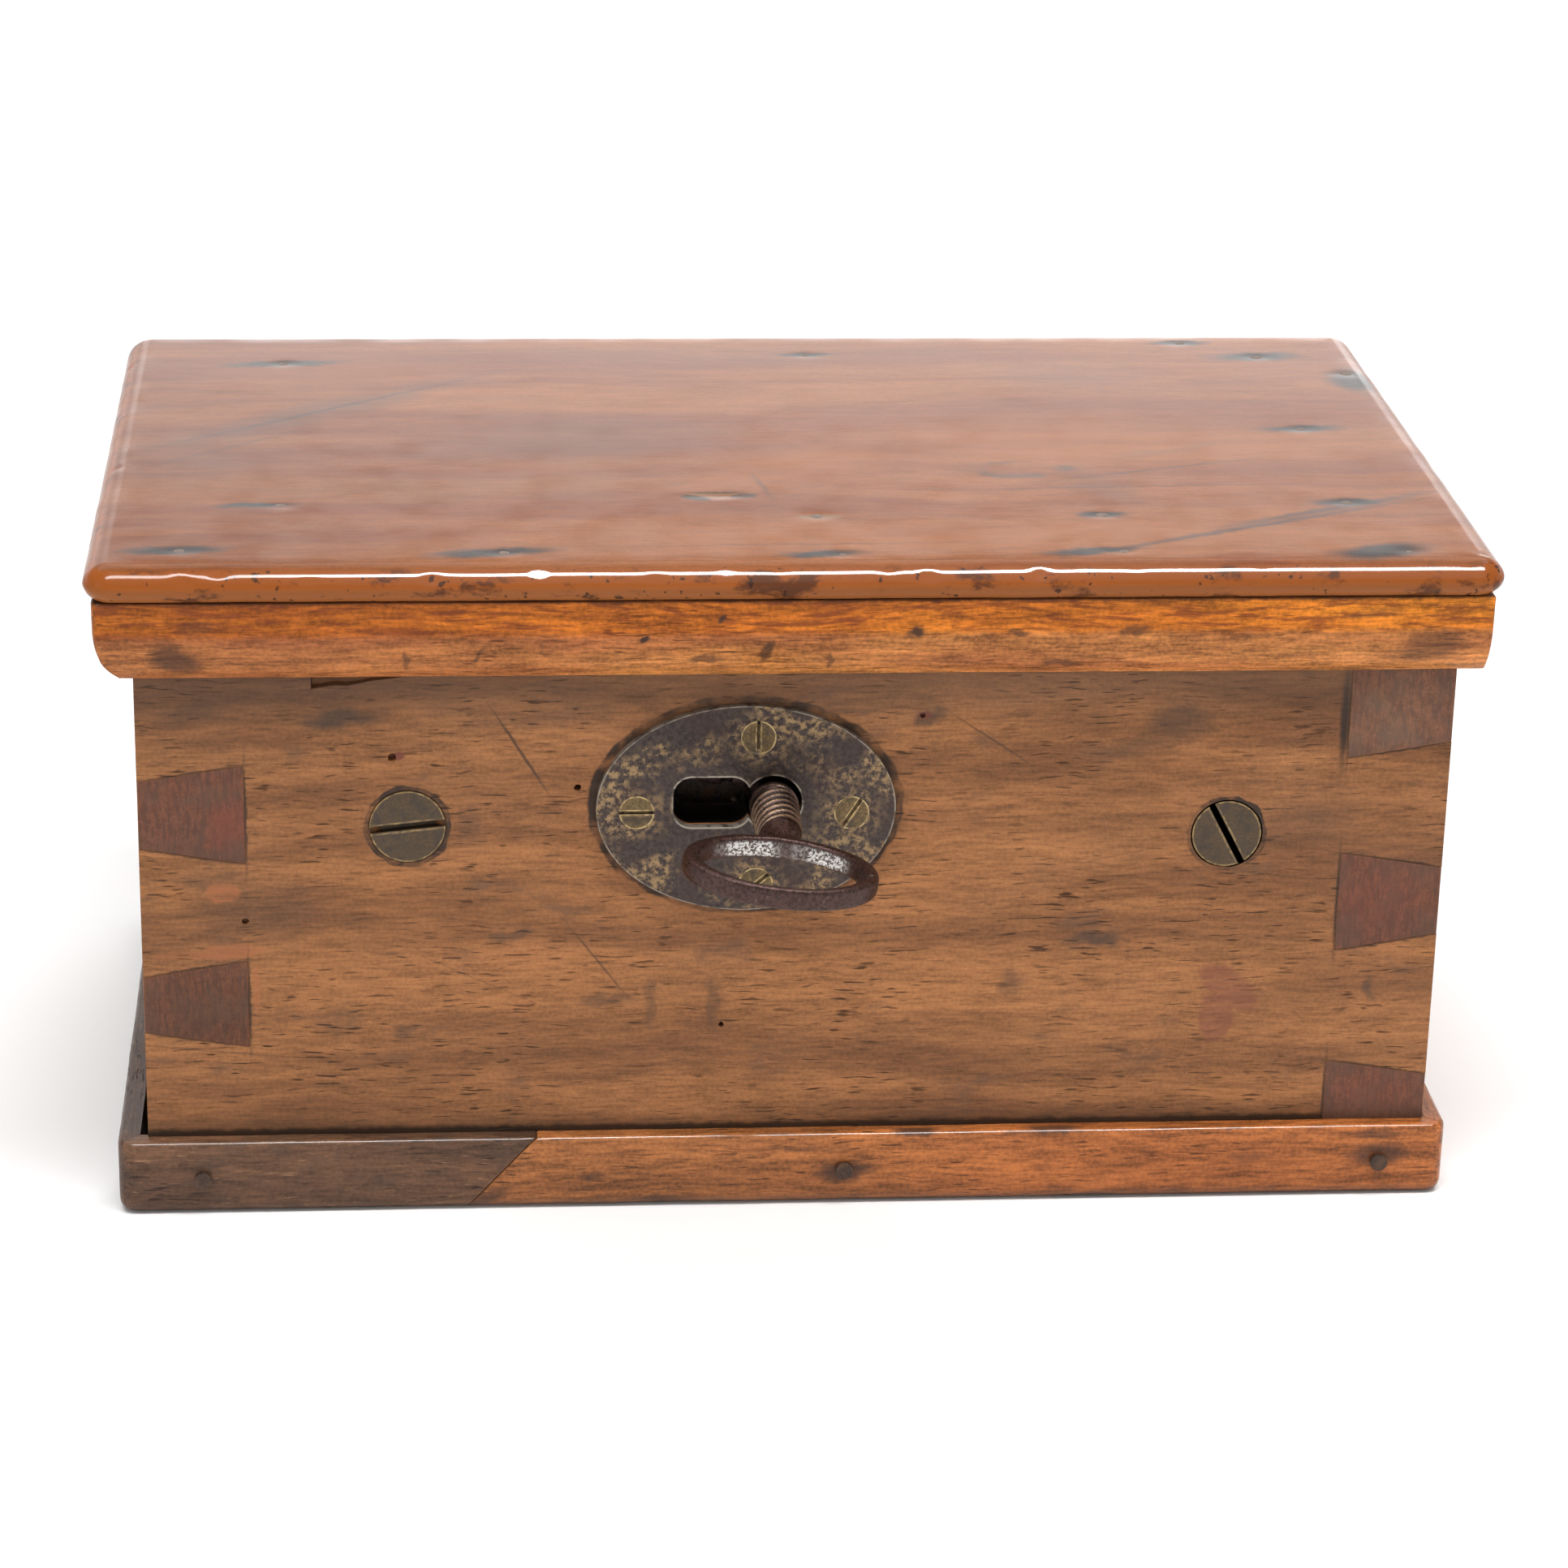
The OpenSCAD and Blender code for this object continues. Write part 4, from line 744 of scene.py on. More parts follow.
def lid_wear(point, low, high, dents):
    """How far the lid's surface is worn away at a point, in mm."""
    worn = 0.022 * (1 + wave(point, 28, 3.0)) + 0.002 * (1 + wave(point, 6.0, 8.0))
    rim = min(point.x - low.x, high.x - point.x, point.y - low.y, high.y - point.y)
    if rim < 7:
        worn += 0.07 * (1 + wave(point, 9, 5.0)) * min(1.0, (7 - rim) / 4)
    if rim > LID_FLAT:
        for x, y in NAILS:
            reach = math.hypot((point.x - x) / 1.5, point.y - y)
            if reach < 3.4:
                worn += 0.05 * (0.5 + 0.5 * math.cos(math.pi * reach / 3.4))
        flaw = math.hypot((point.x + 14.5) / 3.4, point.y + 36.2)
        if flaw < 2.6:
            worn += 0.1 * (0.5 + 0.5 * math.cos(math.pi * flaw / 2.6)) * (1 + 0.6 * wave(point, 2.0, 1.0))
    for x, y, z, radius, depth in dents:
        reach = (point - Vector((x, y, z))).length / radius
        if reach < 1.6:
            worn += depth * (0.5 + 0.5 * math.cos(math.pi * reach / 1.6))
    return worn


def lid_board():
    low, high = box_mm("lid_board")
    xs = lines_between(low.x + LID_FLAT, high.x - LID_FLAT, 0.35, 2.1, 1.15)
    ys = lines_between(low.y + LID_FLAT, high.y - LID_FLAT, 0.35, 2.1, 1.15)
    radius = LID_CORNER - LID_FLAT
    dents = lid_dents(low, high)

    def rounded(x, y):
        """A top grid place moved onto the rounded corners, and the direction out of the board there."""
        cx = xs[0] + radius if x < xs[0] + radius else xs[-1] - radius if x > xs[-1] - radius else None
        cy = ys[0] + radius if y < ys[0] + radius else ys[-1] - radius if y > ys[-1] - radius else None
        if cx is None or cy is None:
            out = Vector((0.0 if cx is None else x - cx, 0.0 if cy is None else y - cy, 0.0))
            return Vector((x, y, 0.0)), out
        a, b = abs(x - cx), abs(y - cy)
        reach = max(a, b)
        turn = 0.0 if reach < 1e-9 else math.pi / 4 * (b / a if a >= b else 2 - a / b)
        out = Vector((math.copysign(math.cos(turn), x - cx), math.copysign(math.sin(turn), y - cy), 0.0))
        return Vector((cx, cy, 0.0)) + out * reach, out

    vertices, faces, index = [], [], {}
    for i, x in enumerate(xs):
        for j, y in enumerate(ys):
            spot, _ = rounded(x, y)
            point = Vector((spot.x, spot.y, high.z))
            point.z -= lid_wear(point, low, high, dents)
            index[i, j] = len(vertices)
            vertices.append(point)
    nx, ny = len(xs) - 1, len(ys) - 1
    for i in range(nx):
        for j in range(ny):
            faces.append((index[i, j], index[i + 1, j], index[i + 1, j + 1], index[i, j + 1]))
    edge = [(i, 0) for i in range(nx)] + [(nx, j) for j in range(ny)]
    edge += [(i, ny) for i in range(nx, 0, -1)] + [(0, j) for j in range(ny, 0, -1)]
    ring = [index[e] for e in edge]
    profile = smooth_through(NOSING, 3)
    for k in range(len(profile) - 2, -1, -1):
        share, inset = profile[k]
        ahead, behind = profile[min(k + 1, len(profile) - 1)], profile[max(k - 1, 0)]
        rise = (ahead[0] - behind[0]) * (high.z - low.z)
        run = behind[1] - ahead[1]
        tilt = Vector((rise, run)).normalized()
        new_ring = []
        for i, j in edge:
            spot, out = rounded(xs[i], ys[j])
            if out.length < 1e-6:
                out = Vector((-1.0 if i == 0 else 1.0 if i == nx else 0.0,
                              -1.0 if j == 0 else 1.0 if j == ny else 0.0, 0.0))
            out = out.normalized()
            point = spot + out * (LID_FLAT - max(inset, 0.0))
            point.z = low.z + share * (high.z - low.z)
            normal = out * tilt[0] + Vector((0, 0, -tilt[1]))
            point = point - normal.normalized() * lid_wear(point, low, high, dents)
            point.z = max(point.z, low.z)
            new_ring.append(len(vertices))
            vertices.append(point)
        for a in range(len(ring)):
            b = (a + 1) % len(ring)
            faces.append((ring[a], new_ring[a], new_ring[b], ring[b]))
        ring = new_ring
    faces.append(tuple(ring))
    board = mesh_object("lid_top_board", vertices, faces)
    return place(board, "lid", ["lid_board"], "lid_wood", angle=math.radians(60))


def arc(centre, radius, start, end, steps):
    return [(centre[0] + radius * math.cos(math.radians(start + (end - start) * i / steps)),
             centre[1] + radius * math.sin(math.radians(start + (end - start) * i / steps)))
            for i in range(steps + 1)]


def even(outline, step):
    """An outline with extra points, so that none are further apart than step."""
    made = []
    for i, (x0, y0) in enumerate(outline):
        x1, y1 = outline[(i + 1) % len(outline)]
        parts = max(1, math.ceil(math.hypot(x1 - x0, y1 - y0) / step))
        made += [(x0 + (x1 - x0) * k / parts, y0 + (y1 - y0) * k / parts) for k in range(parts)]
    return made


def outline_normals(outline):
    """The outward direction at each point of an anticlockwise outline."""
    found = []
    for i in range(len(outline)):
        (x0, y0), (x1, y1) = outline[i - 1], outline[(i + 1) % len(outline)]
        length = math.hypot(x1 - x0, y1 - y0) or 1.0
        found.append(((y1 - y0) / length, -(x1 - x0) / length))
    return found


def wall(rows, around):
    """The faces between neighbouring rings that have that many points each."""
    return [(i + k, i + (k + 1) % around, i + around + (k + 1) % around, i + around + k)
            for i in range(0, (rows - 1) * around, around) for k in range(around)]


def closed_wall(rows, around):
    """The same with both ends filled."""
    ends = [tuple(reversed(range(around))), tuple((rows - 1) * around + k for k in range(around))]
    return wall(rows, around) + ends


def bar(name, outline, depth, along, outward, base, start, end, corner=(0, 0), wear=0.1, seed=1.0, step=2.2):
    """A bar with a (out, up) outline. start and end give its ends along it, from (out, up).
    corner is the radius of a mitred end's upright corner, or 0 for a square end that is only softened."""
    along, outward, up = Vector(along), Vector(outward), Vector((0, 0, 1))
    normals = outline_normals(outline)
    soft = 0.5
    shares = [0.0, 0.15, 0.4, 0.7, 1.0]
    rings = []

    def end_places(place_of, sign, radius):
        """The rings of one end, outermost first: each is a list of (along, out, up)."""
        made = []
        for share in shares:
            ring = []
            for (out, height), (n_out, n_up) in zip(outline, normals):
                tip = place_of(out, height)
                if radius:
                    inset = radius - (depth - out)
                    if inset > 0:
                        turn = math.radians(45 + 45 * share)
                        s = tip - sign * (depth - out) + sign * (radius - inset * math.cos(turn))
                        ring.append((s, depth - (radius - inset * math.sin(turn)), height))
                    else:
                        ring.append((tip + sign * 0.02 * share, out, height))
                else:
                    turn = math.radians(90 * share)
                    pull = soft * (1 - math.sin(turn))
                    tip += sign * soft * (1 - math.cos(turn))
                    ring.append((tip, out - n_out * pull, height - n_up * pull))
            made.append(ring)
        return made

    heads = end_places(start, 1, corner[0])
    tails = end_places(end, -1, corner[1])
    first, last = heads[-1], tails[-1]
    length = max(p[0] for p in last) - min(p[0] for p in first)
    count = max(1, round(length / step))
    rings += heads
    for k in range(1, count):
        t = k / count
        rings.append([(a[0] + (b[0] - a[0]) * t, a[1] + (b[1] - a[1]) * t, a[2] + (b[2] - a[2]) * t)
                      for a, b in zip(first, last)])
    rings += tails[::-1]
    vertices = []
    for ring in rings:
        for (s, out, height), (n_out, n_up) in zip(ring, normals):
            point = Vector(base) + along * s + outward * out + up * height
            loss = wear * (0.5 + 0.5 * wave(point, 17, seed))
            loss += wear * 0.35 * (0.5 + 0.5 * wave(point, 3.2, seed + 9))
            vertices.append(point - (outward * n_out + up * n_up) * loss)
    size = len(outline)
    faces = wall(len(rings), size)
    faces.append(tuple(range(size)))
    faces.append(tuple((len(rings) - 1) * size + a for a in reversed(range(size))))
    return mesh_object(name, vertices, faces)


RAIL_W = 42.0
OVOLO_R, OVOLO_H = 14.3, 10.6                    # radius of the moulding's quarter round, and its height


def rail_outline(height):
    """The moulded rail: flat underside, ovolo, upright face and top, anticlockwise."""
    foot = -math.degrees(math.asin(OVOLO_H / OVOLO_R))
    curve = arc((RAIL_W - OVOLO_R, OVOLO_H), OVOLO_R, foot, 0, 20)
    return even([(0, 0)] + curve + [(RAIL_W, height - 0.3), (RAIL_W - 0.3, height), (0, height)], 1.6)


def plain_rail_outline(height, foot=2.5):
    return even([(0, 0)] + arc((RAIL_W - foot, foot), foot, -90, 0, 6)
                + [(RAIL_W, height - 0.3), (RAIL_W - 0.3, height), (0, height)], 1.6)


def lid_rails():
    low, high = box_mm("lid_rail_front")
    height = high.z - low.z
    hook_low, hook_high = box_mm("hook_plate")
    front = bar("lid_moulding_front", rail_outline(height), RAIL_W, (1, 0, 0), (0, -1, 0),
                (0, low.y + RAIL_W, low.z), lambda out, up: low.x + RAIL_W - out, lambda out, up: high.x,
                (1.6, 0), 0.16, 2.0)
    corners = [(hook_low.x, hook_low.y), (hook_high.x, hook_low.y), (hook_high.x, hook_high.y),
               (hook_low.x, hook_high.y)]
    leaf = [(x, y, z) for z in (low.z - 1, hook_high.z) for x, y in corners]
    cut(front, [mesh_object("cutter", leaf, BOX_FACES)])
    place(front, "lid", ["lid_rail_front"], "rail_wood")
    side_low, side_high = box_mm("lid_rail_left")
    left = bar("lid_moulding_left", rail_outline(height), RAIL_W, (0, 1, 0), (-1, 0, 0),
               (side_low.x + RAIL_W, 0, low.z), lambda out, up: side_low.y + RAIL_W - out,
               lambda out, up: side_high.y, (1.6, 0), 0.16, 6.0)
    place(left, "lid", ["lid_rail_left"], "rail_wood", "rail_wood_side")
    r_low, r_high = box_mm("lid_rail_right")
    right = bar("lid_rail_right_plain", plain_rail_outline(height), RAIL_W, (0, 1, 0), (1, 0, 0),
                (r_high.x - RAIL_W, 0, low.z), lambda out, up: r_low.y, lambda out, up: r_high.y,
                (0, 0), 0.16, 7.0)
    place(right, "lid", ["lid_rail_right"], "rail_wood", "rail_wood_side")


BOX_FACES = [(3, 2, 1, 0), (4, 5, 6, 7), (0, 1, 5, 4), (1, 2, 6, 5), (2, 3, 7, 6), (3, 0, 4, 7)]
PLINTH_T = 4.5
PLINTH_CORNER = 3.5
SCARF = (-64.0, -50.0)                           # the patch's slanted joint at the foot and at the top


def plinth():
    low, high = box_mm("plinth_left")
    _, far = box_mm("plinth_right")
    left, right, front, back, height = low.x, far.x, low.y, high.y, high.z
    edge, foot = 1.2, 2.5
    outline = even([(0, 0)] + arc((PLINTH_T - foot, foot), foot, -90, 0, 6)
                   + arc((PLINTH_T - edge, height - edge), edge, 0, 90, 5) + [(0, height)], 1.2)
    r = PLINTH_CORNER
    along_x, along_y = (1, 0, 0), (0, 1, 0)
    at_front = (0, front + PLINTH_T, 0)

    def scarf(out, up):
        return SCARF[0] + (SCARF[1] - SCARF[0]) * up / height

    def mitre(side, inward):
        """A mitred end at that side of the box. The strip is longest at its outer face."""
        return lambda out, up: side + inward * (PLINTH_T - out)

    west, east, south, north = mitre(left, 1), mitre(right, -1), mitre(front, 1), mitre(back, -1)
    # Piece, node, slot, material, direction, outward, foot of the inner face, ends, corners, wear, seed
    strips = [
        ("plinth_patch_front", "plinth_patch", "patch_wood", None, along_x, (0, -1, 0), at_front,
         west, scarf, (r, 0), 0.2, 3.0),
        ("plinth_strip_front", "plinth_front", "plinth_wood", None, along_x, (0, -1, 0), at_front,
         scarf, east, (0, r), 0.22, 4.0),
        ("plinth_strip_back", "plinth_back", "plinth_wood", None, along_x, (0, 1, 0), (0, back - PLINTH_T, 0),
         west, east, (r, r), 0.2, 5.0),
        ("plinth_strip_left", "plinth_left", "patch_wood", "patch_wood_side", along_y, (-1, 0, 0),
         (left + PLINTH_T, 0, 0), south, north, (r, r), 0.2, 6.0),
        ("plinth_strip_right", "plinth_right", "plinth_wood", "plinth_wood_side", along_y, (1, 0, 0),
         (right - PLINTH_T, 0, 0), south, north, (r, r), 0.2, 7.0)]
    for name, node, slot, material, along, outward, base, start, end, corner, wear, seed in strips:
        strip = bar(name, outline, PLINTH_T, along, outward, base, start, end, corner, wear, seed)
        place(strip, "box", [node], slot, material)


def lathe(profile, centre, axis, steps, wobble=0.0, seed=0.0):
    """Vertices and faces turned from (radius, along) pairs round an axis that is 'y' or 'z'."""
    vertices = []
    for radius, along in profile:
        for k in range(steps):
            turn = 2 * math.pi * k / steps
            r = radius * (1 + wobble * wave((math.cos(turn) * 4, math.sin(turn) * 4, along), 4.0, seed))
            a, b = r * math.cos(turn), r * math.sin(turn)
            offset = (a, b, along) if axis == "z" else (a, along, b)
            vertices.append(Vector(centre) + Vector(offset))
    return vertices, closed_wall(len(profile), steps)


def joined(parts):
    """Several (vertices, faces) as one."""
    vertices, faces = [], []
    for some, their in parts:
        base = len(vertices)
        vertices += some
        faces += [tuple(base + i for i in face) for face in their]
    return vertices, faces


def lid_nails():
    rng = random.Random(5)
    parts = []
    for i, (x, y) in enumerate(NAILS):
        sunk = rng.uniform(0.02, 0.08)
        head = [(0.3, 0.02), (1.0, 0.0), (1.4, -0.08), (1.62, -0.28), (1.5, -0.62), (1.1, -0.8), (1.1, -18.6),
                (0.25, -19.8)]
        parts.append(lathe(head, (x, y, LID_TOP - sunk), "z", 20, 0.22, i * 2.3))
    place(mesh_object("lid_nail_heads", *joined(parts)), "lid", ["lid_nails"], "nail_iron", "lid_nail_iron")


# Nail and worm holes in the front: X, Z, radius and depth
HOLES = [(-42.2, 86.9, 0.62, 3), (-77.2, 93.3, 0.7, 2), (-105.3, 60.2, 0.6, 1.2), (-14.3, 37.4, 0.5, 2),
         (23.0, 101.0, 0.5, 1.0)]
# The splintered place in the front's top edge: X, its lower edge and its depth
SPLINTERS = [(-92.2, 107.0, 1.7), (-88.0, 107.7, 1.5), (-85.4, 107.6, 1.3), (-81.0, 108.5, 1.1),
             (-76.5, 109.0, 0.8), (-72.0, 109.9, 0.4)]


def front_face():
    """The front board with a splintered top edge and small nail and worm holes."""
    _, high = box_mm("front_board")
    y = FRONT_Y
    vertices, count = [], len(SPLINTERS)
    for x, z, deep in SPLINTERS:
        vertices += [(x, y - 1, z), (x + 0.3, y + deep, z + 0.5), (x + 0.3, y + deep, high.z + 1),
                     (x, y - 1, high.z + 1)]
    faces = [(0, 1, 2, 3), tuple(4 * (count - 1) + k for k in (3, 2, 1, 0))]
    for i in range(count - 1):
        for k in range(4):
            n = (k + 1) % 4
            faces.append((4 * i + k, 4 * i + 4 + k, 4 * i + 4 + n, 4 * i + n))
    chip = face_outward(mesh_object("cutter_chip", vertices, faces))
    holes = []
    for x, z, r, deep in HOLES:
        shape = [(r * 1.25, -1.0), (r * 1.15, 0.05), (r, 0.4), (r * 0.85, deep)]
        holes.append(lathe(shape, (x, y, z), "y", 10, 0.3, x))
    worms = face_outward(mesh_object("cutter_holes", *joined(holes)))
    from_cad("front_board", "box", "body_wood", edge_mm=0.22, cutters=[chip, worms])


# CAD nodes copied with worn edges: body, slot, material, rounding of the edges and its steps
WORN_COPIES = {
    "back_board": ("box", "body_wood", None, 0.22, 2),
    "left_side": ("box", "side_wood", None, 0.2, 2),
    "right_side": ("box", "side_wood", None, 0.2, 2),
    "bottom_board": ("box", "plain_wood", None, 0.4, 2),
    "lock_batten": ("box", "plain_wood", None, 0.4, 2),
    "lid_rail_back": ("lid", "plain_wood", None, 0.3, 2),
    "escutcheon": ("box", "dark_iron", "escutcheon", 0.3, 3),
    "front_screw_left": ("box", "aged_brass", "big_screws", 0.14, 2),
    "front_screw_right": ("box", "aged_brass", "big_screws", 0.14, 2),
    "escutcheon_screws": ("box", "aged_brass", "small_screws", 0.1, 2),
}


def body_pieces():
    front_face()
    for node, look in WORN_COPIES.items():
        from_cad(node, *look)


# ---------------------------------------------------------------- key

BOW_SIDE, BOW_END = 3.5, 2.1                     # the bow's thickness at its sides and at its ends
BOW_BEND = 1.3                                   # how far the bow stands left of the key's axis
BOW_SQUARE = 0.62                                # its section: 1 is an ellipse, nearer 0 is squarer
SHANK_R, SHANK_END = 3.8, -54.7                  # the shank's radius, and where it ends
BORE_R, BORE_END = 2.06, -65.5
BIT_T = 4.0


def bow_ring():
    """The oval bow: a rounded section swept round an ellipse, thicker at the sides, with worn unevenness."""
    stations, section = 112, 20
    mid_y = FRONT_Y - BOW_GAP - BOW_L / 2
    vertices, faces = [], []
    for i in range(stations):
        turn = 2 * math.pi * i / stations
        c, s = math.cos(turn), math.sin(turn)
        outer = Vector((c * BOW_W / 2, s * BOW_L / 2))
        inner = Vector((c * (BOW_W / 2 - BOW_SIDE), s * (BOW_L / 2 - BOW_END)))
        centre, half = (outer + inner) / 2, (outer - inner) / 2
        for k in range(section):
            a = 2 * math.pi * k / section
            u = math.copysign(abs(math.cos(a)) ** BOW_SQUARE, math.cos(a))
            v = math.copysign(abs(math.sin(a)) ** BOW_SQUARE, math.sin(a))
            flat = centre + half * u
            point = Vector((flat.x - BOW_BEND, mid_y + flat.y, v * BOW_T / 2))
            worn = 0.07 * (1 + wave(point, 7, 2.0)) + 0.025 * (1 + wave(point, 1.4, 4.0))
            away = Vector((half.x * u, half.y * u, v * half.length)).normalized()
            vertices.append(point - away * worn)
    for i in range(stations):
        j = (i + 1) % stations
        for k in range(section):
            n = (k + 1) % section
            faces.append((i * section + k, j * section + k, j * section + n, i * section + n))
    return vertices, faces


def key_stem():
    """The neck out of the bow, its slanting worn rings, a plain band and the shank with its bore."""
    steps, count, rings = 64, 108, 6
    back, face = FRONT_Y - BOW_GAP, FRONT_Y - PLATE_T
    ring_from, ring_to = NECK_RINGS
    stops = [(0.6, back - 0.9), (2.2, back - 0.7), (2.5, back + 0.5), (3.1, back + 1.8), (3.6, back + 3.0)]
    for i in range(count + 1):
        t = i / count
        radius = NECK_R[0] + (NECK_R[1] - NECK_R[0]) * t + 0.3 * math.sin(2 * math.pi * rings * t)
        stops.append((radius, ring_from + (ring_to - ring_from) * t))
    stops += [(4.5, ring_to + 0.3), (4.76, ring_to + 0.7), (4.8, ring_to + 1.6), (4.6, face - 0.7),
              (4.2, face - 0.2)]
    stops += [(SHANK_R, face + 0.1), (SHANK_R, SHANK_END - 0.5), (SHANK_R - 0.3, SHANK_END - 0.05),
              (2.2, SHANK_END), (BORE_R, SHANK_END - 0.2), (BORE_R, BORE_END), (0.4, BORE_END - 0.5)]
    vertices = []
    for radius, along in stops:
        for k in range(steps):
            turn = 2 * math.pi * k / steps
            reach = min(along - ring_from + 0.6, ring_to + 0.6 - along)
            slope = min(1.3, 0.9 * max(reach, 0.0)) * math.cos(turn - 0.35)
            r = radius - 0.05 * (1 + wave((4 * math.cos(turn), along, 4 * math.sin(turn)), 2.2, 3.0))
            vertices.append(Vector((r * math.cos(turn), along + slope, r * math.sin(turn))))
    return vertices, closed_wall(len(stops), steps)


def key_pieces():
    lean = Matrix.Rotation(math.radians(KEY_TILT), 4, "Y")
    set_up = Matrix.Translation((KEY_X, 0, KEY_Z)) @ lean

    def made(name, shape):
        vertices, faces = shape
        return mesh_object(name, [set_up @ Vector(v) for v in vertices], faces)

    place(made("key_bow", bow_ring()), "key", ["key"], "key_iron")
    place(made("key_stem", key_stem()), "key", [], "key_iron")
    back = box_mm("key")[1].y
    bit = bmesh.new()
    front, notch = back - 7.3, back - 5.2
    outline = [(-3.2, front), (-7.0, front), (-7.0, notch), (-8.8, notch), (-8.8, front), (-13, front),
               (-13, back), (-3.2, back)]
    corners = [bit.verts.new(Vector((x, y, -BIT_T / 2)) * MM) for x, y in outline]
    face = bit.faces.new(corners)
    lifted = bmesh.ops.extrude_face_region(bit, geom=[face])
    bmesh.ops.translate(bit, verts=[v for v in lifted["geom"] if isinstance(v, bmesh.types.BMVert)],
                        vec=(0, 0, BIT_T * MM))
    bmesh.ops.bevel(bit, geom=bit.edges[:], offset=0.3 * MM, segments=2, profile=0.5, affect="EDGES")
    mesh = bpy.data.meshes.new("key_bit")
    bit.to_mesh(mesh)
    bit.free()
    mesh.transform(Matrix.Translation((KEY_X * MM, 0, KEY_Z * MM)) @ lean)
    piece = bpy.data.objects.new("key_bit", mesh)
    bpy.context.scene.collection.objects.link(piece)
    place(piece, "key", [], "key_iron")


# ---------------------------------------------------------------- carried-over CAD nodes

CARRIED = {
    "nail_iron": ["bottom_nails"],
    "plinth_iron": ["plinth_nails"],
    "dark_iron": ["lock_plate", "lock_cap", "lock_ward", "drill_pin", "bolt_guides", "lock_bolt",
                  "hook_plate", "hinge_pins"],
    "aged_brass": ["lock_screws", "hook_screws", "hinge_screws_lower", "hinge_screws_upper"],
    "hinge_brass": ["hinge_left_lower", "hinge_right_lower", "hinge_left_upper", "hinge_right_upper"],
    "spring_steel": ["bolt_spring"],
}


def carry_over():
    """Gives the CAD nodes that stay their materials, and rounds their edges a little."""
    for material, nodes in CARRIED.items():
        for node in nodes:
            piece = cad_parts[node]
            for slot in piece.material_slots:
                slot.material = MATERIALS[material]
            weld = piece.modifiers.new("weld", "WELD")
            weld.merge_threshold = WELD_GAP
            edges = piece.modifiers.new("edges", "BEVEL")
            edges.width, edges.segments, edges.limit_method = 0.15 * MM, 2, "ANGLE"
            edges.angle_limit = math.radians(40)


# ---------------------------------------------------------------- studio

def area_light(name, place_at, target, size, radiance, colour=(1, 1, 1)):
    """A soft box of that size whose surface has that radiance."""
    light = bpy.data.lights.new(name, "AREA")
    light.shape, light.size, light.size_y = "RECTANGLE", size[0], size[1]
    light.energy = radiance * math.pi * size[0] * size[1]
    light.color = colour
    lamp = bpy.data.objects.new(name, light)
    bpy.context.scene.collection.objects.link(lamp)
    lamp.location = place_at
    lamp.rotation_mode = "QUATERNION"
    lamp.rotation_quaternion = (Vector(target) - Vector(place_at)).to_track_quat("-Z", "Y")


DOME = 0.36                                      # the sky's strength above the horizon


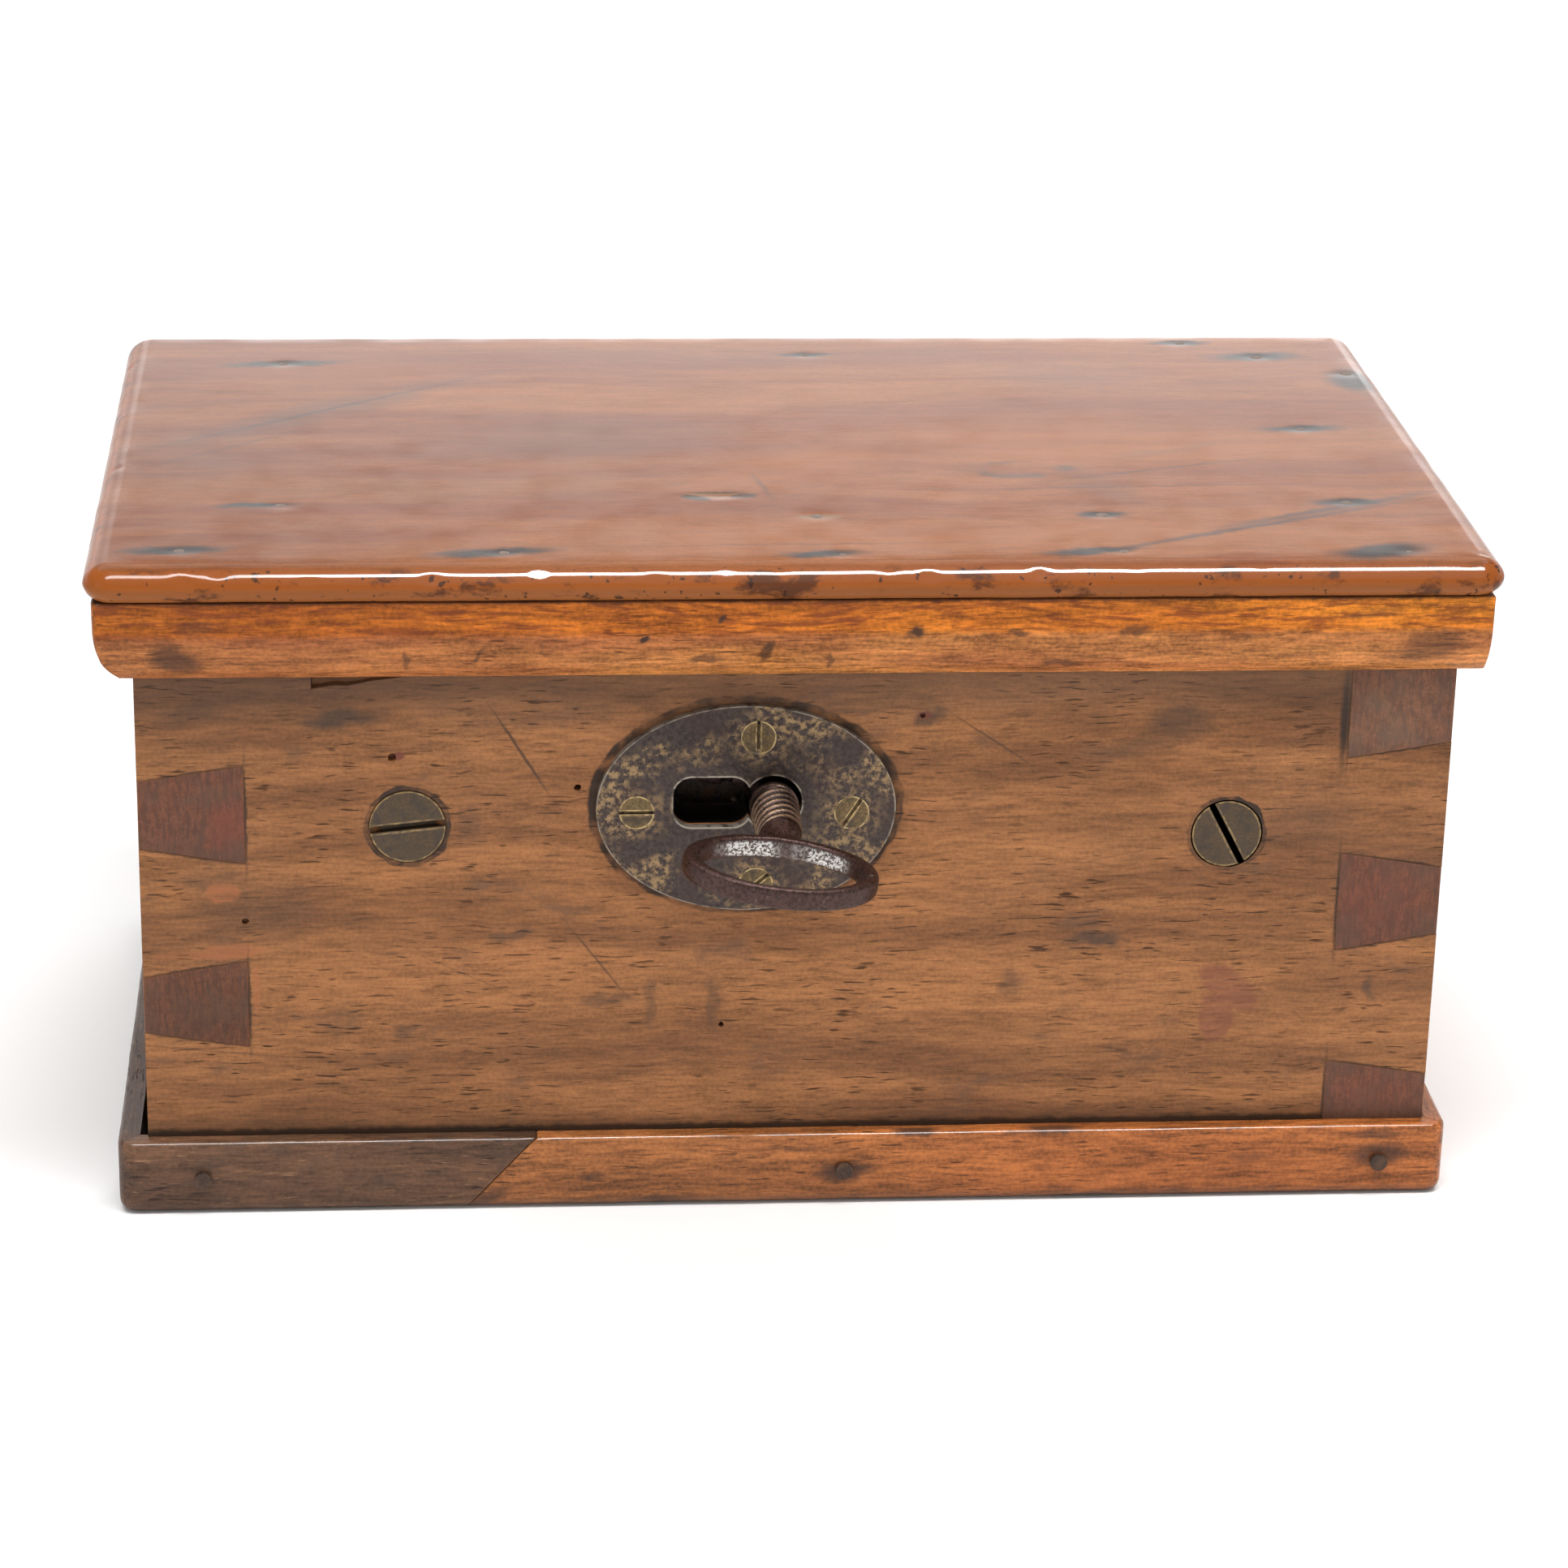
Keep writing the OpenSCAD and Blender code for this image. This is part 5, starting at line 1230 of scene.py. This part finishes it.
def sky():
    """A dim dome over a paler horizon, brightest low down behind the box like a lit backdrop."""
    world = bpy.data.worlds.new("studio")
    world.use_nodes = True
    tree = world.node_tree

    def node(kind, *inputs, **settings):
        made = tree.nodes.new(kind)
        for key, value in settings.items():
            setattr(made, key, value)
        for socket, value in zip(made.inputs, inputs):
            if isinstance(value, bpy.types.NodeSocket):
                tree.links.new(value, socket)
            else:
                socket.default_value = value
        return made.outputs

    def eased(*inputs):
        return node("ShaderNodeMapRange", *inputs, interpolation_type="SMOOTHSTEP")[0]

    def sine(degrees):
        return math.sin(math.radians(degrees))

    way = node("ShaderNodeSeparateXYZ", node("ShaderNodeTexCoord")["Generated"])
    glow = eased(way["Z"], sine(14.0), sine(17.3), 1.0, 0.0)
    aside = node("ShaderNodeMath", way["X"], 0.075, operation="SUBTRACT")[0]
    aside = node("ShaderNodeMath", aside, operation="ABSOLUTE")[0]
    behind = eased(way["Y"], 0.7, 0.85, 0.0, 1.0)
    middle = eased(aside, 0.2, 0.32, 2.4, 0.0)
    backdrop = node("ShaderNodeMath", behind, middle, 1.0, operation="MULTIPLY_ADD")[0]
    strength = node("ShaderNodeMath", glow, backdrop, DOME, operation="MULTIPLY_ADD")[0]
    background = tree.nodes["Background"]
    background.inputs["Color"].default_value = (1.0, 1.0, 1.0, 1.0)
    tree.links.new(strength, background.inputs["Strength"])
    bpy.context.scene.world = world


def studio():
    reach = 8.0
    cells = 8
    vertices = [(reach * (2 * i / cells - 1) / MM, reach * (2 * j / cells - 1) / MM, 0.0)
                for i in range(cells + 1) for j in range(cells + 1)]
    row = cells + 1
    faces = [(i * row + j, (i + 1) * row + j, (i + 1) * row + j + 1, i * row + j + 1)
             for i in range(cells) for j in range(cells)]
    floor = mesh_object("studio_floor", vertices, faces)
    floor.data.materials.append(floor_white())
    sky()
    area_light("softbox_top", (0.05, -0.32, 1.05), (0.0, -0.05, 0.1), (1.1, 0.2), 18.0)
    area_light("softbox_back", (0.0, 2.0, 2.3), (0.0, 1.9, 0.0), (3.4, 2.2), 2.4)
    area_light("softbox_left", (-1.1, -0.7, 0.7), (0.0, 0.0, 0.08), (0.6, 0.6), 1.2)


def camera():
    """The viewing angle: slightly from the left, from above, with a long lens."""
    yaw, pitch, roll = 0.0849, -0.3726, 0.0218
    forward = Vector((math.sin(yaw) * math.cos(pitch), math.cos(yaw) * math.cos(pitch), math.sin(pitch)))
    right = Vector((math.cos(yaw), -math.sin(yaw), 0.0))
    up = right.cross(forward)
    turned_right = math.cos(roll) * right + math.sin(roll) * up
    turned_up = math.cos(roll) * up - math.sin(roll) * right
    data = bpy.data.cameras.new("camera")
    data.lens, data.sensor_width, data.clip_start = 103.93, 36.0, 0.01
    lens = bpy.data.objects.new("camera", data)
    bpy.context.scene.collection.objects.link(lens)
    turn = Matrix((turned_right, turned_up, -forward)).transposed()
    lens.matrix_world = Matrix.Translation((-0.07095, -0.86946, 0.40012)) @ turn.to_4x4()
    bpy.context.scene.camera = lens


# ---------------------------------------------------------------- build

lid_board()
lid_rails()
lid_nails()
plinth()
body_pieces()
key_pieces()
carry_over()
studio()
camera()
bpy.context.scene.view_settings.view_transform = "Standard"
